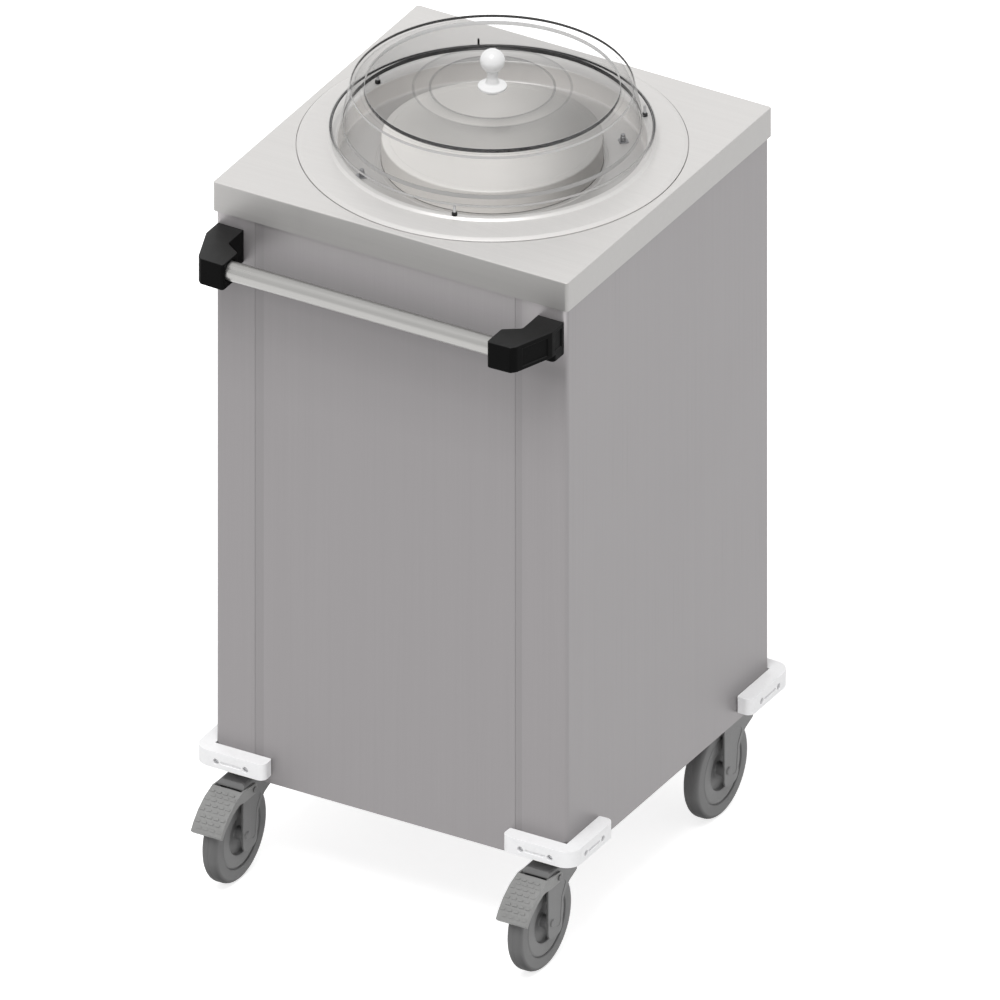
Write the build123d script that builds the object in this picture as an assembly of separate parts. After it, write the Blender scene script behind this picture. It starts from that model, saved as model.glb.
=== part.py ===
from build123d import *
import os

# Self-levelling plate dispenser cart. A square sheet-steel cabinet on four swivel casters
# holds one round chute. A sprung platform rises in the chute as plates are taken off, and a
# clear dome stands over it.
# Millimetres. The origin is on the floor under the middle of the cabinet, +Z is up, and the
# push handle is on the -Y side.

# Driving dimensions
worktop_side = 485.0
worktop_top = 937.0
worktop_edge = 39.0
body_side = 480.0
body_bottom = 136.0
sheet = 2.0

flange_radius = 232.0
collar_radius = 187.0
well_radius = 183.0
chute_radius = 133.0
platform_radius = 131.6
platform_top = 948.0
platform_travel = 450.0

dome_rim_radius = 194.0
dome_rim_bottom = 960.0
dome_top = 1015.0
dome_wall = 3.0
dome_foot_radius = 179.5
knob_radius = 15.0
knob_centre = 1051.0

wheel_radius = 62.5
wheel_width = 21.0
caster_spacing = 417.0
caster_trail = 41.7

handle_radius = 10.0
handle_out = 308.0
handle_height = 866.0

bumper_out = 260.0
bumper_bottom = 148.0
bumper_top = 170.0

# Dimensions that follow from them
half_top = worktop_side / 2
half_body = body_side / 2
inside = half_body - sheet
under_top = worktop_top - sheet
panel_top = worktop_top - 7.0
pivot = caster_spacing / 2

# Cabinet
body_bend = 6.5
left_seam = (-186.0, -174.0)
right_seam = (169.5, 179.0)
back_seam = (171.5, 182.5)
hem_width = 12.0
joggle_overlap = 20.0
post_leg = 30.0
base_plate_bottom = 156.0
base_plate_sheet = 3.0
base_plate_top = base_plate_bottom + base_plate_sheet

# Rebate in the worktop that the flange drops into
rebate_radius = flange_radius + 1.0
rebate_floor = worktop_top - 3.0
rebate_ledge = 205.0

# Chute, guide rods and carrier
chute_bottom = 250.0
lower_ring_height = 4.0
well_floor = 917.0
flange_neck_bottom = 897.0
arm_angles = (-67.0, 53.0, 173.0)
arm_bottom = 716.0
arm_height = 8.0
arm_width = 20.0
arm_reach = 182.0
arm_head_start = 162.0
arm_head_width = 62.0
slot_width = 26.0
rod_circle = 172.0
rod_radius = 5.0
bush_radius = 9.0
bush_height = 16.0
running_gap = 0.05
spring_offset = 22.0
spring_radius = 7.0
spring_bore = 5.0
column_radius = 20.0
column_bore = 17.0
carrier_plate_radius = 90.0
platform_rim = 30.0

# Dome supports and catches
stud_angles = (-73.8, 46.2, 166.2)
stud_circle = 188.0
catch_angles = (-135.0, 45.0)
catch_circle = 160.0

# Casters
tyre_inner = 44.0
hub_recess = 27.0
hub_radius = 9.0
web_half = 4.0
axle_radius = 4.0
leg_inner = 15.2
leg_sheet = 2.8
leg_outer = leg_inner + leg_sheet
crown_bottom = 127.0
crown_top = 134.0
neck_radius = 23.0
neck_top = 147.7
spigot_radius = 8.0
bolt_radius = 6.0
axle_head_radius = 6.5
axle_head_height = 3.0
side_gap = 0.3
brake_pin_place = (-29.0, 119.5)
brake_pin_radius = 2.5
pin_head_radius = 3.8
pin_head_height = 1.3
pedal_sheet = 2.0
pedal_inner = leg_outer + 0.6
pedal_half = pedal_inner + pedal_sheet

# Bumpers
bumper_arm_end = 162.0
bumper_screw_places = (188.0, 228.0)
bumper_groove_height = 157.0
bumper_groove = 4.0
bumper_groove_depth = 2.5

# Handle
bracket_reach = 180.0
handle_tube_end = 205.0
handle_tube_wall = 1.5
bracket_bottom = 847.0
bracket_top = 882.0
bracket_base_bottom = 838.0
handle_screw_place = 219.0
handle_screw_heights = (850.0, 870.0)
handle_screw_radius = 3.0


def slab(x0, x1, y0, y1, z0, z1):
    """Rectangular block between two corners."""
    centre = ((x0 + x1) / 2, (y0 + y1) / 2, (z0 + z1) / 2)
    return Pos(*centre) * Box(abs(x1 - x0), abs(y1 - y0), abs(z1 - z0))


def post(radius, x, y, z0, z1):
    """Upright round bar."""
    return Pos(x, y, (z0 + z1) / 2) * Cylinder(radius, z1 - z0)


def bar_along_x(radius, x0, x1, y, z):
    """Round bar that lies along X."""
    turned_bar = Rot(0, 90, 0) * Cylinder(radius, x1 - x0)
    return Pos((x0 + x1) / 2, y, z) * turned_bar


def bar_along_y(radius, x, y0, y1, z):
    """Round bar that lies along Y."""
    turned_bar = Rot(90, 0, 0) * Cylinder(radius, y1 - y0)
    return Pos(x, (y0 + y1) / 2, z) * turned_bar


def outline(corners):
    """Flat closed outline from (x, y) or (x, y, corner radius) corners."""
    points = [corner[:2] for corner in corners]
    radii = [corner[2] if len(corner) > 2 else 0 for corner in corners]
    return make_face(FilletPolyline(*points, radius=radii, close=True))


def turned(corners):
    """Solid turned about the Z axis from (radius, height) corners."""
    return revolve(Plane.XZ * outline(corners), Axis.Z)


def turned_about_x(corners):
    """Solid turned about the X axis from (x, radius) corners."""
    return revolve(outline(corners), Axis.X)


def upright(corners, z0, z1):
    """Plan outline raised between two heights."""
    return Pos(0, 0, z0) * extrude(outline(corners), z1 - z0)


def side_profile(corners, x0, x1):
    """Outline in (y, z) carried along X."""
    return Pos(x0, 0, 0) * extrude(Plane.YZ * outline(corners), x1 - x0)


def around(angle, shape):
    """Shape turned about the cabinet's axis."""
    return Rot(0, 0, angle) * shape


def to_corner(shape, x_side, y_side):
    """Shape drawn for the +X +Y corner, mirrored to another corner."""
    if x_side < 0:
        shape = mirror(shape, Plane.YZ)
    if y_side < 0:
        shape = mirror(shape, Plane.XZ)
    return shape


def other_arm(shape):
    """Shape mirrored across the corner's diagonal."""
    return mirror(shape, Plane(origin=(0, 0, 0), z_dir=(1, -1, 0)))


# Worktop and dispenser flange

def worktop():
    """Folded sheet top with a round rebate for the flange."""
    low = worktop_top - worktop_edge
    tray = slab(-half_top, half_top, -half_top, half_top, low, worktop_top)
    tray = fillet(tray.edges().filter_by(Axis.Z), 4.0)
    tray = fillet(tray.faces().sort_by(Axis.Z)[-1].edges(), 1.5)
    cavity = half_top - sheet
    tray -= slab(-cavity, cavity, -cavity, cavity, low, under_top)
    tray -= post(rebate_radius, 0, 0, under_top - 1, worktop_top + 1)
    outer = rebate_radius + sheet
    floor = rebate_floor
    ledge = turned([(rebate_ledge, floor - sheet), (outer, floor - sheet), (outer, under_top + 0.5),
                    (rebate_radius, under_top + 0.5), (rebate_radius, floor), (rebate_ledge, floor)])
    return tray + ledge


def dispenser_flange():
    """Round drop-in flange: sloped ring, raised collar, sunk well and neck."""
    neck = chute_radius + sheet
    wall = well_radius + sheet
    return turned([
        (flange_radius, rebate_floor), (flange_radius, worktop_top + 4, 3),
        (collar_radius + 7, worktop_top + 5.6, 2), (collar_radius + 4, worktop_top + 8.5, 1.5),
        (well_radius, worktop_top + 8.5, 1.5), (well_radius, well_floor, 3), (neck, well_floor),
        (neck, flange_neck_bottom), (neck + sheet, flange_neck_bottom),
        (neck + sheet, well_floor - sheet, 1), (wall, well_floor - sheet, 5),
        (wall, worktop_top + 4, 1), (flange_radius - sheet, worktop_top + sheet, 1),
        (flange_radius - sheet, rebate_floor)])


def dome_studs():
    """Three pins on the collar: a round foot, and a slim post that holds the dome's brim up."""
    foot = worktop_top + 8.5
    shoulder = foot + 4.5
    tip = dome_rim_bottom - 0.3
    stud = post(3.0, stud_circle, 0, foot, shoulder) + post(1.8, stud_circle, 0, shoulder, tip)
    return [around(angle, stud) for angle in stud_angles]


def tube_catches():
    """Two small catches on the floor of the well, opposite each other."""
    foot = slab(catch_circle - 6, catch_circle + 8, -7, 7, well_floor, well_floor + 2)
    catch = foot + post(4.5, catch_circle, 0, well_floor, well_floor + 14)
    return [around(angle, catch) for angle in catch_angles]


# Chute and sprung platform

def chute_tube():
    """Open steel tube with three upright slots for the carrier's arms."""
    wall = chute_radius + sheet
    tube = turned([(chute_radius, chute_bottom), (wall, chute_bottom),
                   (wall, well_floor), (chute_radius, well_floor)])
    slot_low = arm_bottom - platform_travel - 6
    slot_high = arm_bottom + arm_height + 10
    slot = slab(chute_radius - 10, wall + 10, -slot_width / 2, slot_width / 2, slot_low, slot_high)
    for angle in arm_angles:
        tube -= around(angle, slot)
    return tube


def lower_ring():
    """Flat ring at the foot of the chute that the guide rods stand on."""
    inner = chute_radius + sheet
    top = chute_bottom + lower_ring_height
    return turned([(inner, chute_bottom), (rod_circle + 14, chute_bottom),
                   (rod_circle + 14, top), (inner, top)])


def guide_rod(angle):
    """Rod from the lower ring to the underside of the well."""
    rod = post(rod_radius, rod_circle, 0, chute_bottom + lower_ring_height, well_floor - sheet)
    return around(angle, rod)


def platform():
    """Round plate carrier pan with a turned-down rim."""
    rim_low = platform_top - platform_rim
    inner = platform_radius - sheet
    return turned([(0, platform_top - sheet), (inner, platform_top - sheet, 1), (inner, rim_low),
                   (platform_radius, rim_low), (platform_radius, platform_top, 2), (0, platform_top)])


def platform_carrier():
    """Column with a top plate and three arms that reach out through the chute's slots."""
    arm_top = arm_bottom + arm_height
    plate_top = platform_top - sheet
    column = turned([(column_bore, arm_bottom), (column_radius + 12, arm_bottom),
                     (column_radius + 12, arm_top), (column_radius, arm_top),
                     (column_radius, plate_top - 4), (carrier_plate_radius, plate_top - 4),
                     (carrier_plate_radius, plate_top), (column_bore, plate_top)])
    arm = slab(column_radius, arm_reach, -arm_width / 2, arm_width / 2, arm_bottom, arm_top)
    arm += slab(arm_head_start, arm_reach, -arm_head_width / 2, arm_head_width / 2,
                arm_bottom, arm_top)
    arm -= post(bush_radius, rod_circle, 0, arm_bottom - 1, arm_top + 1)
    for angle in arm_angles:
        column += around(angle, arm)
    return column


def carrier_bushes():
    """Plain sleeves in the arms that run on the guide rods."""
    low = arm_bottom + arm_height / 2 - bush_height / 2
    bush = post(bush_radius, rod_circle, 0, low, low + bush_height)
    bush -= post(rod_radius + running_gap, rod_circle, 0, low - 1, low + bush_height + 1)
    return [around(angle, bush) for angle in arm_angles]


def tension_springs():
    """Six close-wound springs, a pair at each arm, as plain sleeves."""
    low = arm_bottom + arm_height
    high = well_floor - sheet
    springs = []
    for angle in arm_angles:
        for offset in (-spring_offset, spring_offset):
            spring = post(spring_radius, rod_circle, offset, low, high)
            spring -= post(spring_bore, rod_circle, offset, low - 1, high + 1)
            springs.append(around(angle, spring))
    return springs


# Cabinet

def handle_screw_holes(radius):
    """Clearance for the screws that hold the two handle brackets."""
    holes = []
    for x in (-handle_screw_place, handle_screw_place):
        for z in handle_screw_heights:
            holes.append(bar_along_y(radius, x, -half_body - 16, -inside + 8, z))
    return holes


def side_panel(side):
    """Side wall bent round both corners, with a hemmed edge at the front and the back."""
    front = right_seam[1] if side > 0 else -left_seam[0]
    back = back_seam[1]
    hem = inside - sheet
    bend = body_bend - sheet
    plan = [(front, -half_body), (half_body, -half_body, body_bend),
            (half_body, half_body, body_bend), (back, half_body), (back, hem),
            (back + hem_width, hem), (back + hem_width, inside), (inside, inside, bend),
            (inside, -inside, bend), (front + hem_width, -inside),
            (front + hem_width, -hem), (front, -hem)]
    panel = upright([(side * x, y, *rest) for x, y, *rest in plan], body_bottom, panel_top)
    for hole in handle_screw_holes(handle_screw_radius):
        panel -= hole
    return panel


def seam_panel(low_x, high_x, low_end, high_end):
    """Flush panel whose edges step back behind the hems of the side panels."""
    hem = inside - sheet
    tuck = hem - sheet
    plan = [(low_x, -half_body), (high_x, -half_body), (high_x, -hem), (high_end, -hem),
            (high_end, -tuck), (high_x - sheet, -tuck), (high_x - sheet, -inside),
            (low_x + sheet, -inside), (low_x + sheet, -tuck), (low_end, -tuck),
            (low_end, -hem), (low_x, -hem)]
    return upright(plan, body_bottom, panel_top)


def front_panel():
    """Front panel between the two upright seams."""
    return seam_panel(left_seam[1], right_seam[0], left_seam[0] - joggle_overlap,
                      right_seam[1] + joggle_overlap)


def back_panel():
    """Back panel, the same section turned round."""
    end = back_seam[1] + joggle_overlap
    return Rot(0, 0, 180) * seam_panel(-back_seam[0], back_seam[0], -end, end)


def corner_post(x_side, y_side):
    """Upright angle inside a corner, from the base plate to the worktop."""
    legs = slab(inside - post_leg, inside, inside - sheet, inside, base_plate_top, under_top)
    legs += slab(inside - sheet, inside, inside - post_leg, inside, base_plate_top, under_top)
    corner = slab(inside - body_bend, inside, inside - body_bend, inside, base_plate_top, under_top)
    corner_round = post(body_bend, inside - body_bend, inside - body_bend, base_plate_top, under_top)
    legs -= corner - corner_round
    legs = to_corner(legs, x_side, y_side)
    for hole in handle_screw_holes(handle_screw_radius):
        legs -= hole
    return legs


def base_plate():
    """Floor of the cabinet, which carries the casters."""
    edge = inside - 2 * sheet
    plan = [(-inside, -edge, 5), (inside, -edge, 5), (inside, edge, 5), (-inside, edge, 5)]
    plate = upright(plan, base_plate_bottom, base_plate_top)
    for x in (-pivot, pivot):
        for y in (-pivot, pivot):
            plate -= post(bolt_radius, x, y, base_plate_bottom - 1, base_plate_top + 1)
    return plate


# Bumpers

def bumper_hole(x, radius, depth):
    """Hole into the outer wall of a bumper arm that runs along X."""
    return bar_along_y(radius, x, bumper_out - depth, bumper_out + 1, bumper_groove_height)


def bumper_arm_cuts():
    """Groove and screw holes of the arm that runs along X."""
    low, high = bumper_screw_places
    half = bumper_groove / 2
    middle = bumper_groove_height
    cuts = slab(low, high, bumper_out - bumper_groove_depth, bumper_out + 1,
                middle - half, middle + half)
    for x in bumper_screw_places:
        cuts += bumper_hole(x, 3.6, 6) + bumper_hole(x, 2.0, bumper_out - half_body + 1)
    return cuts


def bumper(x_side, y_side):
    """L-shaped corner buffer with rounded ends."""
    end = bumper_arm_end
    plan = [(half_body, end), (bumper_out, end, 9), (bumper_out, bumper_out, 20),
            (end, bumper_out, 9), (end, half_body), (half_body, half_body)]
    shape = upright(plan, bumper_bottom, bumper_top)
    shape = fillet(shape.faces().sort_by(Axis.Z)[-1].edges().filter_by(
        lambda edge: edge.center().X + edge.center().Y > end + half_body + 15), 3.0)
    cuts = bumper_arm_cuts()
    shape = shape - cuts - other_arm(cuts)
    return to_corner(shape, x_side, y_side)


def bumper_screws():
    """Two countersunk screws in each bumper arm."""
    screws = []
    for x in bumper_screw_places:
        head = bar_along_y(3.5, x, bumper_out - 6, bumper_out - 3.5, bumper_groove_height)
        shank = bar_along_y(2.0, x, half_body, bumper_out - 6, bumper_groove_height)
        screws.append(head + shank)
    screws += [other_arm(screw) for screw in screws]
    return [to_corner(screw, x_side, y_side)
            for x_side in (-1, 1) for y_side in (-1, 1) for screw in screws]


# Handle

def handle_tube():
    """Push bar between the two brackets."""
    end = handle_tube_end
    tube = bar_along_x(handle_radius, -end, end, -handle_out, handle_height)
    return tube - bar_along_x(handle_radius - handle_tube_wall, -end, end, -handle_out, handle_height)


def handle_bracket(side):
    """Moulded bracket that carries one end of the push bar."""
    reach = bracket_reach
    plan = [(236.6, -half_body), (236.6, -268, 6), (217.6, -319, 8), (212, -325, 5), (reach, -326, 4),
            (reach, -291, 4), (201, -277, 6), (201, -half_body)]
    arm = upright(plan, bracket_bottom, bracket_top)
    top = arm.faces().sort_by(Axis.Z)[-1].edges()
    arm = chamfer(top.filter_by(lambda edge: edge.center().Y < -half_body - 1), 2.5)
    arm += slab(201, 236.6, -264, -half_body, bracket_base_bottom, bracket_bottom)
    arm -= bar_along_x(handle_radius, reach - 1, handle_tube_end, -handle_out, handle_height)
    for hole in handle_screw_holes(handle_screw_radius):
        arm -= hole
    return arm if side > 0 else mirror(arm, Plane.YZ)


def handle_screws():
    """Four screws from inside the cabinet into the brackets."""
    inner_face = -inside + sheet
    screws = []
    for x in (-handle_screw_place, handle_screw_place):
        for z in handle_screw_heights:
            shank = bar_along_y(handle_screw_radius, x, -half_body - 15, inner_face, z)
            head = bar_along_y(5.5, x, inner_face, inner_face + 4, z)
            screws.append(shank + head)
    return screws


# Casters, drawn about their own swivel axis with the wheel trailing towards -Y

def swivel_head():
    """Fixed upper race with the spigot that the fork turns on."""
    return turned([(0, 122.5), (11, 122.5, 1), (11, crown_bottom - 0.3), (spigot_radius, crown_bottom - 0.3),
                   (spigot_radius, neck_top + 0.3), (neck_radius + 1, neck_top + 0.3, 1),
                   (neck_radius + 1, base_plate_bottom), (bolt_radius, base_plate_bottom),
                   (bolt_radius, crown_top), (0, crown_top)])


def fork(braked):
    """Pressed fork: neck, crown and two legs that hold the axle."""
    leg = side_profile([(17, crown_top), (-46, crown_top, 4), (-51, 128, 3), (-51, 41, 11),
                        (-19, 41, 11), (-15, 86, 20), (-2, 101, 12), (17, 108, 4)], leg_inner, leg_outer)
    crown = slab(-leg_outer, leg_outer, -37, 17, crown_bottom, crown_top)
    crown += post(neck_radius, 0, 0, crown_bottom, neck_top)
    body = crown + leg + mirror(leg, Plane.YZ)
    body -= post(spigot_radius + running_gap, 0, 0, crown_bottom - 1, neck_top + 1)
    body -= bar_along_x(axle_radius, -leg_outer - 1, leg_outer + 1, -caster_trail, wheel_radius)
    if braked:
        body -= bar_along_x(brake_pin_radius, -leg_outer - 1, leg_outer + 1, *brake_pin_place)
    return body


def caster_axle():
    """Axle bolt with a low round head on each side."""
    head = leg_outer + axle_head_height
    axle = bar_along_x(axle_radius, -head, head, -caster_trail, wheel_radius)
    for side in (-1, 1):
        ends = sorted((side * leg_outer, side * head))
        axle += bar_along_x(axle_head_radius, *ends, -caster_trail, wheel_radius)
    return axle


def wheel_core():
    """Moulded wheel centre, dished on both sides round the hub."""
    bore = axle_radius + running_gap
    rim = wheel_width / 2 - 1
    hub_half = leg_inner - side_gap
    half = [(hub_half, bore), (hub_half, hub_radius, 1), (web_half, hub_radius, 2),
            (web_half, hub_recess, 2), (rim, hub_recess, 2), (rim, tyre_inner)]
    other = [(-x, *rest) for x, *rest in reversed(half)]
    return Pos(0, -caster_trail, wheel_radius) * turned_about_x(half + other)


def tyre():
    """Tread with well rounded shoulders."""
    half = wheel_width / 2
    ring = turned_about_x([(half, tyre_inner), (half, wheel_radius, 7),
                           (-half, wheel_radius, 7), (-half, tyre_inner)])
    return Pos(0, -caster_trail, wheel_radius) * ring


def brake_pedal():
    """Foot pedal bent as a channel: a curved tread over the wheel and a skirt on each side."""
    side = [(-22, 126, 6), (-57, 129, 10), (-76, 122.3, 25), (-92, 111.7, 25), (-103.2, 100, 20),
            (-109, 91.5, 1), (-105, 86.5, 1), (-96, 97.5, 15), (-80, 109, 20), (-64, 115.5, 20),
            (-50, 113, 15), (-22, 113, 6)]
    hollow = [(0, 140), (-57, 140), (-57, 126.6), (-75.1, 120, 22), (-90.3, 109.9, 22),
              (-101.2, 98.4, 18), (-105.1, 92.6), (-98, 80), (0, 80)]
    pedal = side_profile(side, -pedal_half, pedal_half)
    pedal -= side_profile(hollow, -pedal_inner, pedal_inner)
    bore = brake_pin_radius + running_gap
    return pedal - bar_along_x(bore, -pedal_half - 1, pedal_half + 1, *brake_pin_place)


def brake_pin():
    """Two headed studs on the fork's legs that the pedal's skirts turn on."""
    neck = pedal_half + side_gap
    head = neck + pin_head_height
    stud = bar_along_x(brake_pin_radius, leg_inner, head, *brake_pin_place)
    stud += bar_along_x(pin_head_radius, neck, head, *brake_pin_place)
    return [stud, mirror(stud, Plane.YZ)]


def caster_bolts():
    """Bolt through the base plate into each swivel head."""
    head = extrude(RegularPolygon(bolt_radius * 1.6, 6), 8)
    bolt = Pos(0, 0, base_plate_top) * head + post(bolt_radius, 0, 0, crown_top, base_plate_top)
    return [Pos(x, y, 0) * bolt for x in (-pivot, pivot) for y in (-pivot, pivot)]


# Dome cover

def dome_cover():
    """Clear moulded cover: flat brim, steep wall, raised ring and flat top with two fine rings."""
    top = dome_top
    brim = dome_rim_bottom
    foot = dome_foot_radius
    cover = turned([
        (dome_rim_radius, brim), (dome_rim_radius, brim + dome_wall, 1), (foot, brim + 5.5, 3),
        (170.3, top - 4, 2.5), (168.8, top + 3, 1.5), (154.2, top + 3, 1.5), (153, top, 0.5),
        (3.2, top), (3.2, top - dome_wall), (155.5, top - dome_wall, 2), (158.5, top - 0.5, 1.5),
        (164, top - 0.5, 2.5), (167.2, top - 7, 4), (foot - 3.5, brim + 2.2, 1),
        (dome_rim_radius - 7, brim)])
    for radius in (74.0, 95.0):
        cover -= turned([(radius - 1, top + 0.1), (radius, top - 0.9), (radius + 1, top + 0.1)])
    return cover


def knob():
    """Ball grip on a short stem with a round foot."""
    ball = Pos(0, 0, knob_centre) * Sphere(knob_radius)
    stem = turned([(0, dome_top), (17.5, dome_top), (17.5, dome_top + 3, 1), (8, dome_top + 6, 2),
                   (6.5, dome_top + 14, 4), (6.5, knob_centre - 8), (0, knob_centre - 8)])
    return ball + stem - post(3.0, 0, 0, dome_top - 1, dome_top + 20)


def knob_screw():
    """Screw from inside the dome into the knob."""
    washer_face = dome_top - dome_wall
    return post(9.0, 0, 0, washer_face - 3, washer_face) + post(3.0, 0, 0, washer_face, dome_top + 20)


def write(name, shape):
    """One file for each node, which holds one solid or a group of like solids."""
    parts = shape if isinstance(shape, list) else [shape]
    solids = [solid for part in parts for solid in part.solids()]
    whole = solids[0] if len(solids) == 1 else Compound(children=solids)
    whole.label = name
    export_step(whole, os.path.join("parts", name + ".step"))


def main():
    os.makedirs("parts", exist_ok=True)
    write("worktop", worktop())
    write("dispenser_flange", dispenser_flange())
    write("dome_studs", dome_studs())
    write("tube_catches", tube_catches())
    write("chute_tube", chute_tube())
    write("lower_ring", lower_ring())
    for number, angle in enumerate(arm_angles, 1):
        write(f"guide_rod_{number}", guide_rod(angle))
    write("platform", platform())
    write("platform_carrier", platform_carrier())
    write("carrier_bushes", carrier_bushes())
    write("tension_springs", tension_springs())
    write("side_panel_left", side_panel(-1))
    write("side_panel_right", side_panel(1))
    write("front_panel", front_panel())
    write("back_panel", back_panel())
    write("base_plate", base_plate())
    write("bumper_screws", bumper_screws())
    write("handle_tube", handle_tube())
    write("handle_bracket_left", handle_bracket(-1))
    write("handle_bracket_right", handle_bracket(1))
    write("handle_screws", handle_screws())
    write("caster_bolts", caster_bolts())
    corners = {"front_left": (-1, -1), "front_right": (1, -1), "rear_left": (-1, 1), "rear_right": (1, 1)}
    for corner, (x_side, y_side) in corners.items():
        place = Pos(x_side * pivot, y_side * pivot, 0)
        braked = y_side < 0
        write(f"corner_post_{corner}", corner_post(x_side, y_side))
        write(f"bumper_{corner}", bumper(x_side, y_side))
        write(f"swivel_head_{corner}", place * swivel_head())
        write(f"fork_{corner}", place * fork(braked))
        write(f"axle_{corner}", place * caster_axle())
        write(f"wheel_core_{corner}", place * wheel_core())
        write(f"tyre_{corner}", place * tyre())
        if braked:
            write(f"brake_pedal_{corner}", place * brake_pedal())
            write(f"brake_pin_{corner}", [place * stud for stud in brake_pin()])
    write("dome_cover", dome_cover())
    write("knob", knob())
    write("knob_screw", knob_screw())


main()
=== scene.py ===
"""Finishes and fine pieces of a plate dispenser cart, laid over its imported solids."""

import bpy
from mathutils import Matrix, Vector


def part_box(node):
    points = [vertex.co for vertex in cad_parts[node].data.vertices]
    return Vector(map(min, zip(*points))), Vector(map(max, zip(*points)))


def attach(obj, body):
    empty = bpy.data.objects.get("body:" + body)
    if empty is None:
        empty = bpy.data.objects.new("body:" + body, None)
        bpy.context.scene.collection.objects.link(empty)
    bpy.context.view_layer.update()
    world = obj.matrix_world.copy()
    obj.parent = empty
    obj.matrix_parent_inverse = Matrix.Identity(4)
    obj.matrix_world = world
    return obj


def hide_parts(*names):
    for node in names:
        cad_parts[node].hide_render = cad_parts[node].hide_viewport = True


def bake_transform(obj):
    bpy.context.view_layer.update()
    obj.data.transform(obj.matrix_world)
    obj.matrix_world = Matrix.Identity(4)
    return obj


bl_info = {
    "name": "Plate dispenser cart",
    "version": (1, 0, 0),
    "blender": (4, 5, 0),
    "location": "View3D > Sidebar > Plate cart",
    "description": "Builds the finishes, the moulded pieces and the studio of a plate dispenser cart",
    "category": "Object",
}

import math

import bmesh
import bpy
from mathutils import Vector

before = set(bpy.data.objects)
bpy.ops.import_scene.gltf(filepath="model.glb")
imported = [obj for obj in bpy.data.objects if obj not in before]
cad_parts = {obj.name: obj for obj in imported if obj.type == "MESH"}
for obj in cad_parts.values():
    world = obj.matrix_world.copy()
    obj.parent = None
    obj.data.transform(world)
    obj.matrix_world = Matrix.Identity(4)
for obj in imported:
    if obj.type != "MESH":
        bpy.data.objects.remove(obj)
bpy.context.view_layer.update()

MM = 0.001
FRONT_CORNERS = ("front_left", "front_right")
CORNERS = FRONT_CORNERS + ("rear_left", "rear_right")

# Sizes that the frame gives, in metres
TOP_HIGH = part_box("worktop")[1]
FLANGE_LOW, FLANGE_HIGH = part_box("dispenser_flange")
DOME_LOW, DOME_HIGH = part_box("dome_cover")
KNOB_LOW, KNOB_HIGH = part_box("knob")
PLATE_LOW, PLATE_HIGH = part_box("platform")
BAR_LOW, BAR_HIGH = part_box("handle_tube")
SPRING_LOW, SPRING_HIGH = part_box("tension_springs")

# Sizes in millimetres that the shapes below share
COLLAR_RADIUS = 187.0
BAR_RADIUS = 12.0
WELL_RADIUS = 183.0
NECK_RADIUS = 135.0
STUD_CIRCLE = 188.0
STUD_ANGLES = (-73.8, 46.2, 166.2)
CATCH_CIRCLE = 160.0
CATCH_ANGLES = (-135.0, 45.0)
ARM_ANGLES = (-67.0, 53.0, 173.0)
ROD_CIRCLE = 172.0
SPRING_OFFSET = 22.0
SPRING_RADIUS = 6.8
SPRING_TURNS = 56
KNOB_RADIUS = 15.0
LUG_LOW = 961.0
LUG_HIGH = 972.0
BRACKET_LOW = 847.0
BRACKET_FOOT_TOP = 849.5
BRACKET_PANEL = (852.0, 876.0)
# Radii of the two grooves in the dome's top, and the strength of the painted dark line along each
DOME_LINES = ((74.0, 0.62), (94.0, 0.40))
DISC_RADIUS = 153.0
DOME_FOOT = 179.5
# Tones and mottle of the painted highlights on the rings inside the clear cover's edges
PAINTED_DOME_EDGE_TONES = (
    ("outer", (206, 205, 204), 0.04), ("inner", (232, 232, 232), 0.03),
    ("foot", (190, 189, 188), 0.05), ("brim", (196, 195, 194), 0.05))

TRAIL = 41.7
WHEEL_RADIUS = 62.5
TYRE_HALF = 10.5
TYRE_INNER = 44.0
HUB_RECESS = 27.0
LEG_OUTER = 18.0
LEG_INNER = 15.2
HUB_HALF = 14.9
WEB_HALF = 4.0
AXLE_HEAD = 5.2
CROWN_TOP = 134.0
CROWN_BOTTOM = 127.0
NECK_TOP = 147.7
NECK_OUTER = 23.0
PEDAL_HALF = 20.6
PEDAL_INNER = 18.6

BODY_HALF = 240.0
LEFT_SEAM = (-185.9, -174.1)
RIGHT_SEAM = (169.6, 178.9)
BACK_SEAM = (171.6, 182.4)
SEAM_DEPTH = 0.3
BUMPER_OUT = 260.0
BUMPER_END = 162.0
BUMPER_LOW = 148.0
BUMPER_HIGH = 170.0
BUMPER_SCREWS = (188.0, 228.0)
BUMPER_GROOVE = 157.0
WELL_FLOOR = 917.0
BACK_SCREW_SIDES = (-188.5, 188.5)
BACK_SCREW_HEIGHTS = (200.0, 430.0, 660.0, 885.0)

# Parts of the photo's view direction over the floor
VIEW_COS = 0.866
VIEW_SIN = 0.5

# Share of the light that the clear plastic lets through, and its smoky part
CLEAR_TINT = 0.99
SMOKE_TINT = 0.66

# Where the painted shade on the upper part of the front panels starts, and how far up it runs, in metres
FRONT_SHADE_START = 0.60
FRONT_SHADE_RUN = 0.30

# Studio: light levels, the sun and the camera, with lengths in metres and angles in degrees
WORLD_LIGHT = 0.53
FLOOR_GLOW = 0.72
SUN_STRENGTH = 1.72
SUN_SOFTNESS = 30.0
SUN_FROM = (0.10, -0.42, 1.0)
CAMERA_AIM = (0.0078, 0.0045, 0.4506)
CAMERA_WIDTH = 1.1837
CAMERA_AZIMUTH = 30.0
CAMERA_ELEVATION = 30.0
CAMERA_DISTANCE = 4.0


def level(red, green, blue):
    """Linear colour for levels from 0 to 255 as a screen shows them."""
    shown = [value / 255 for value in (red, green, blue)]
    return tuple(v / 12.92 if v <= 0.04045 else ((v + 0.055) / 1.055) ** 2.4 for v in shown)


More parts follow.
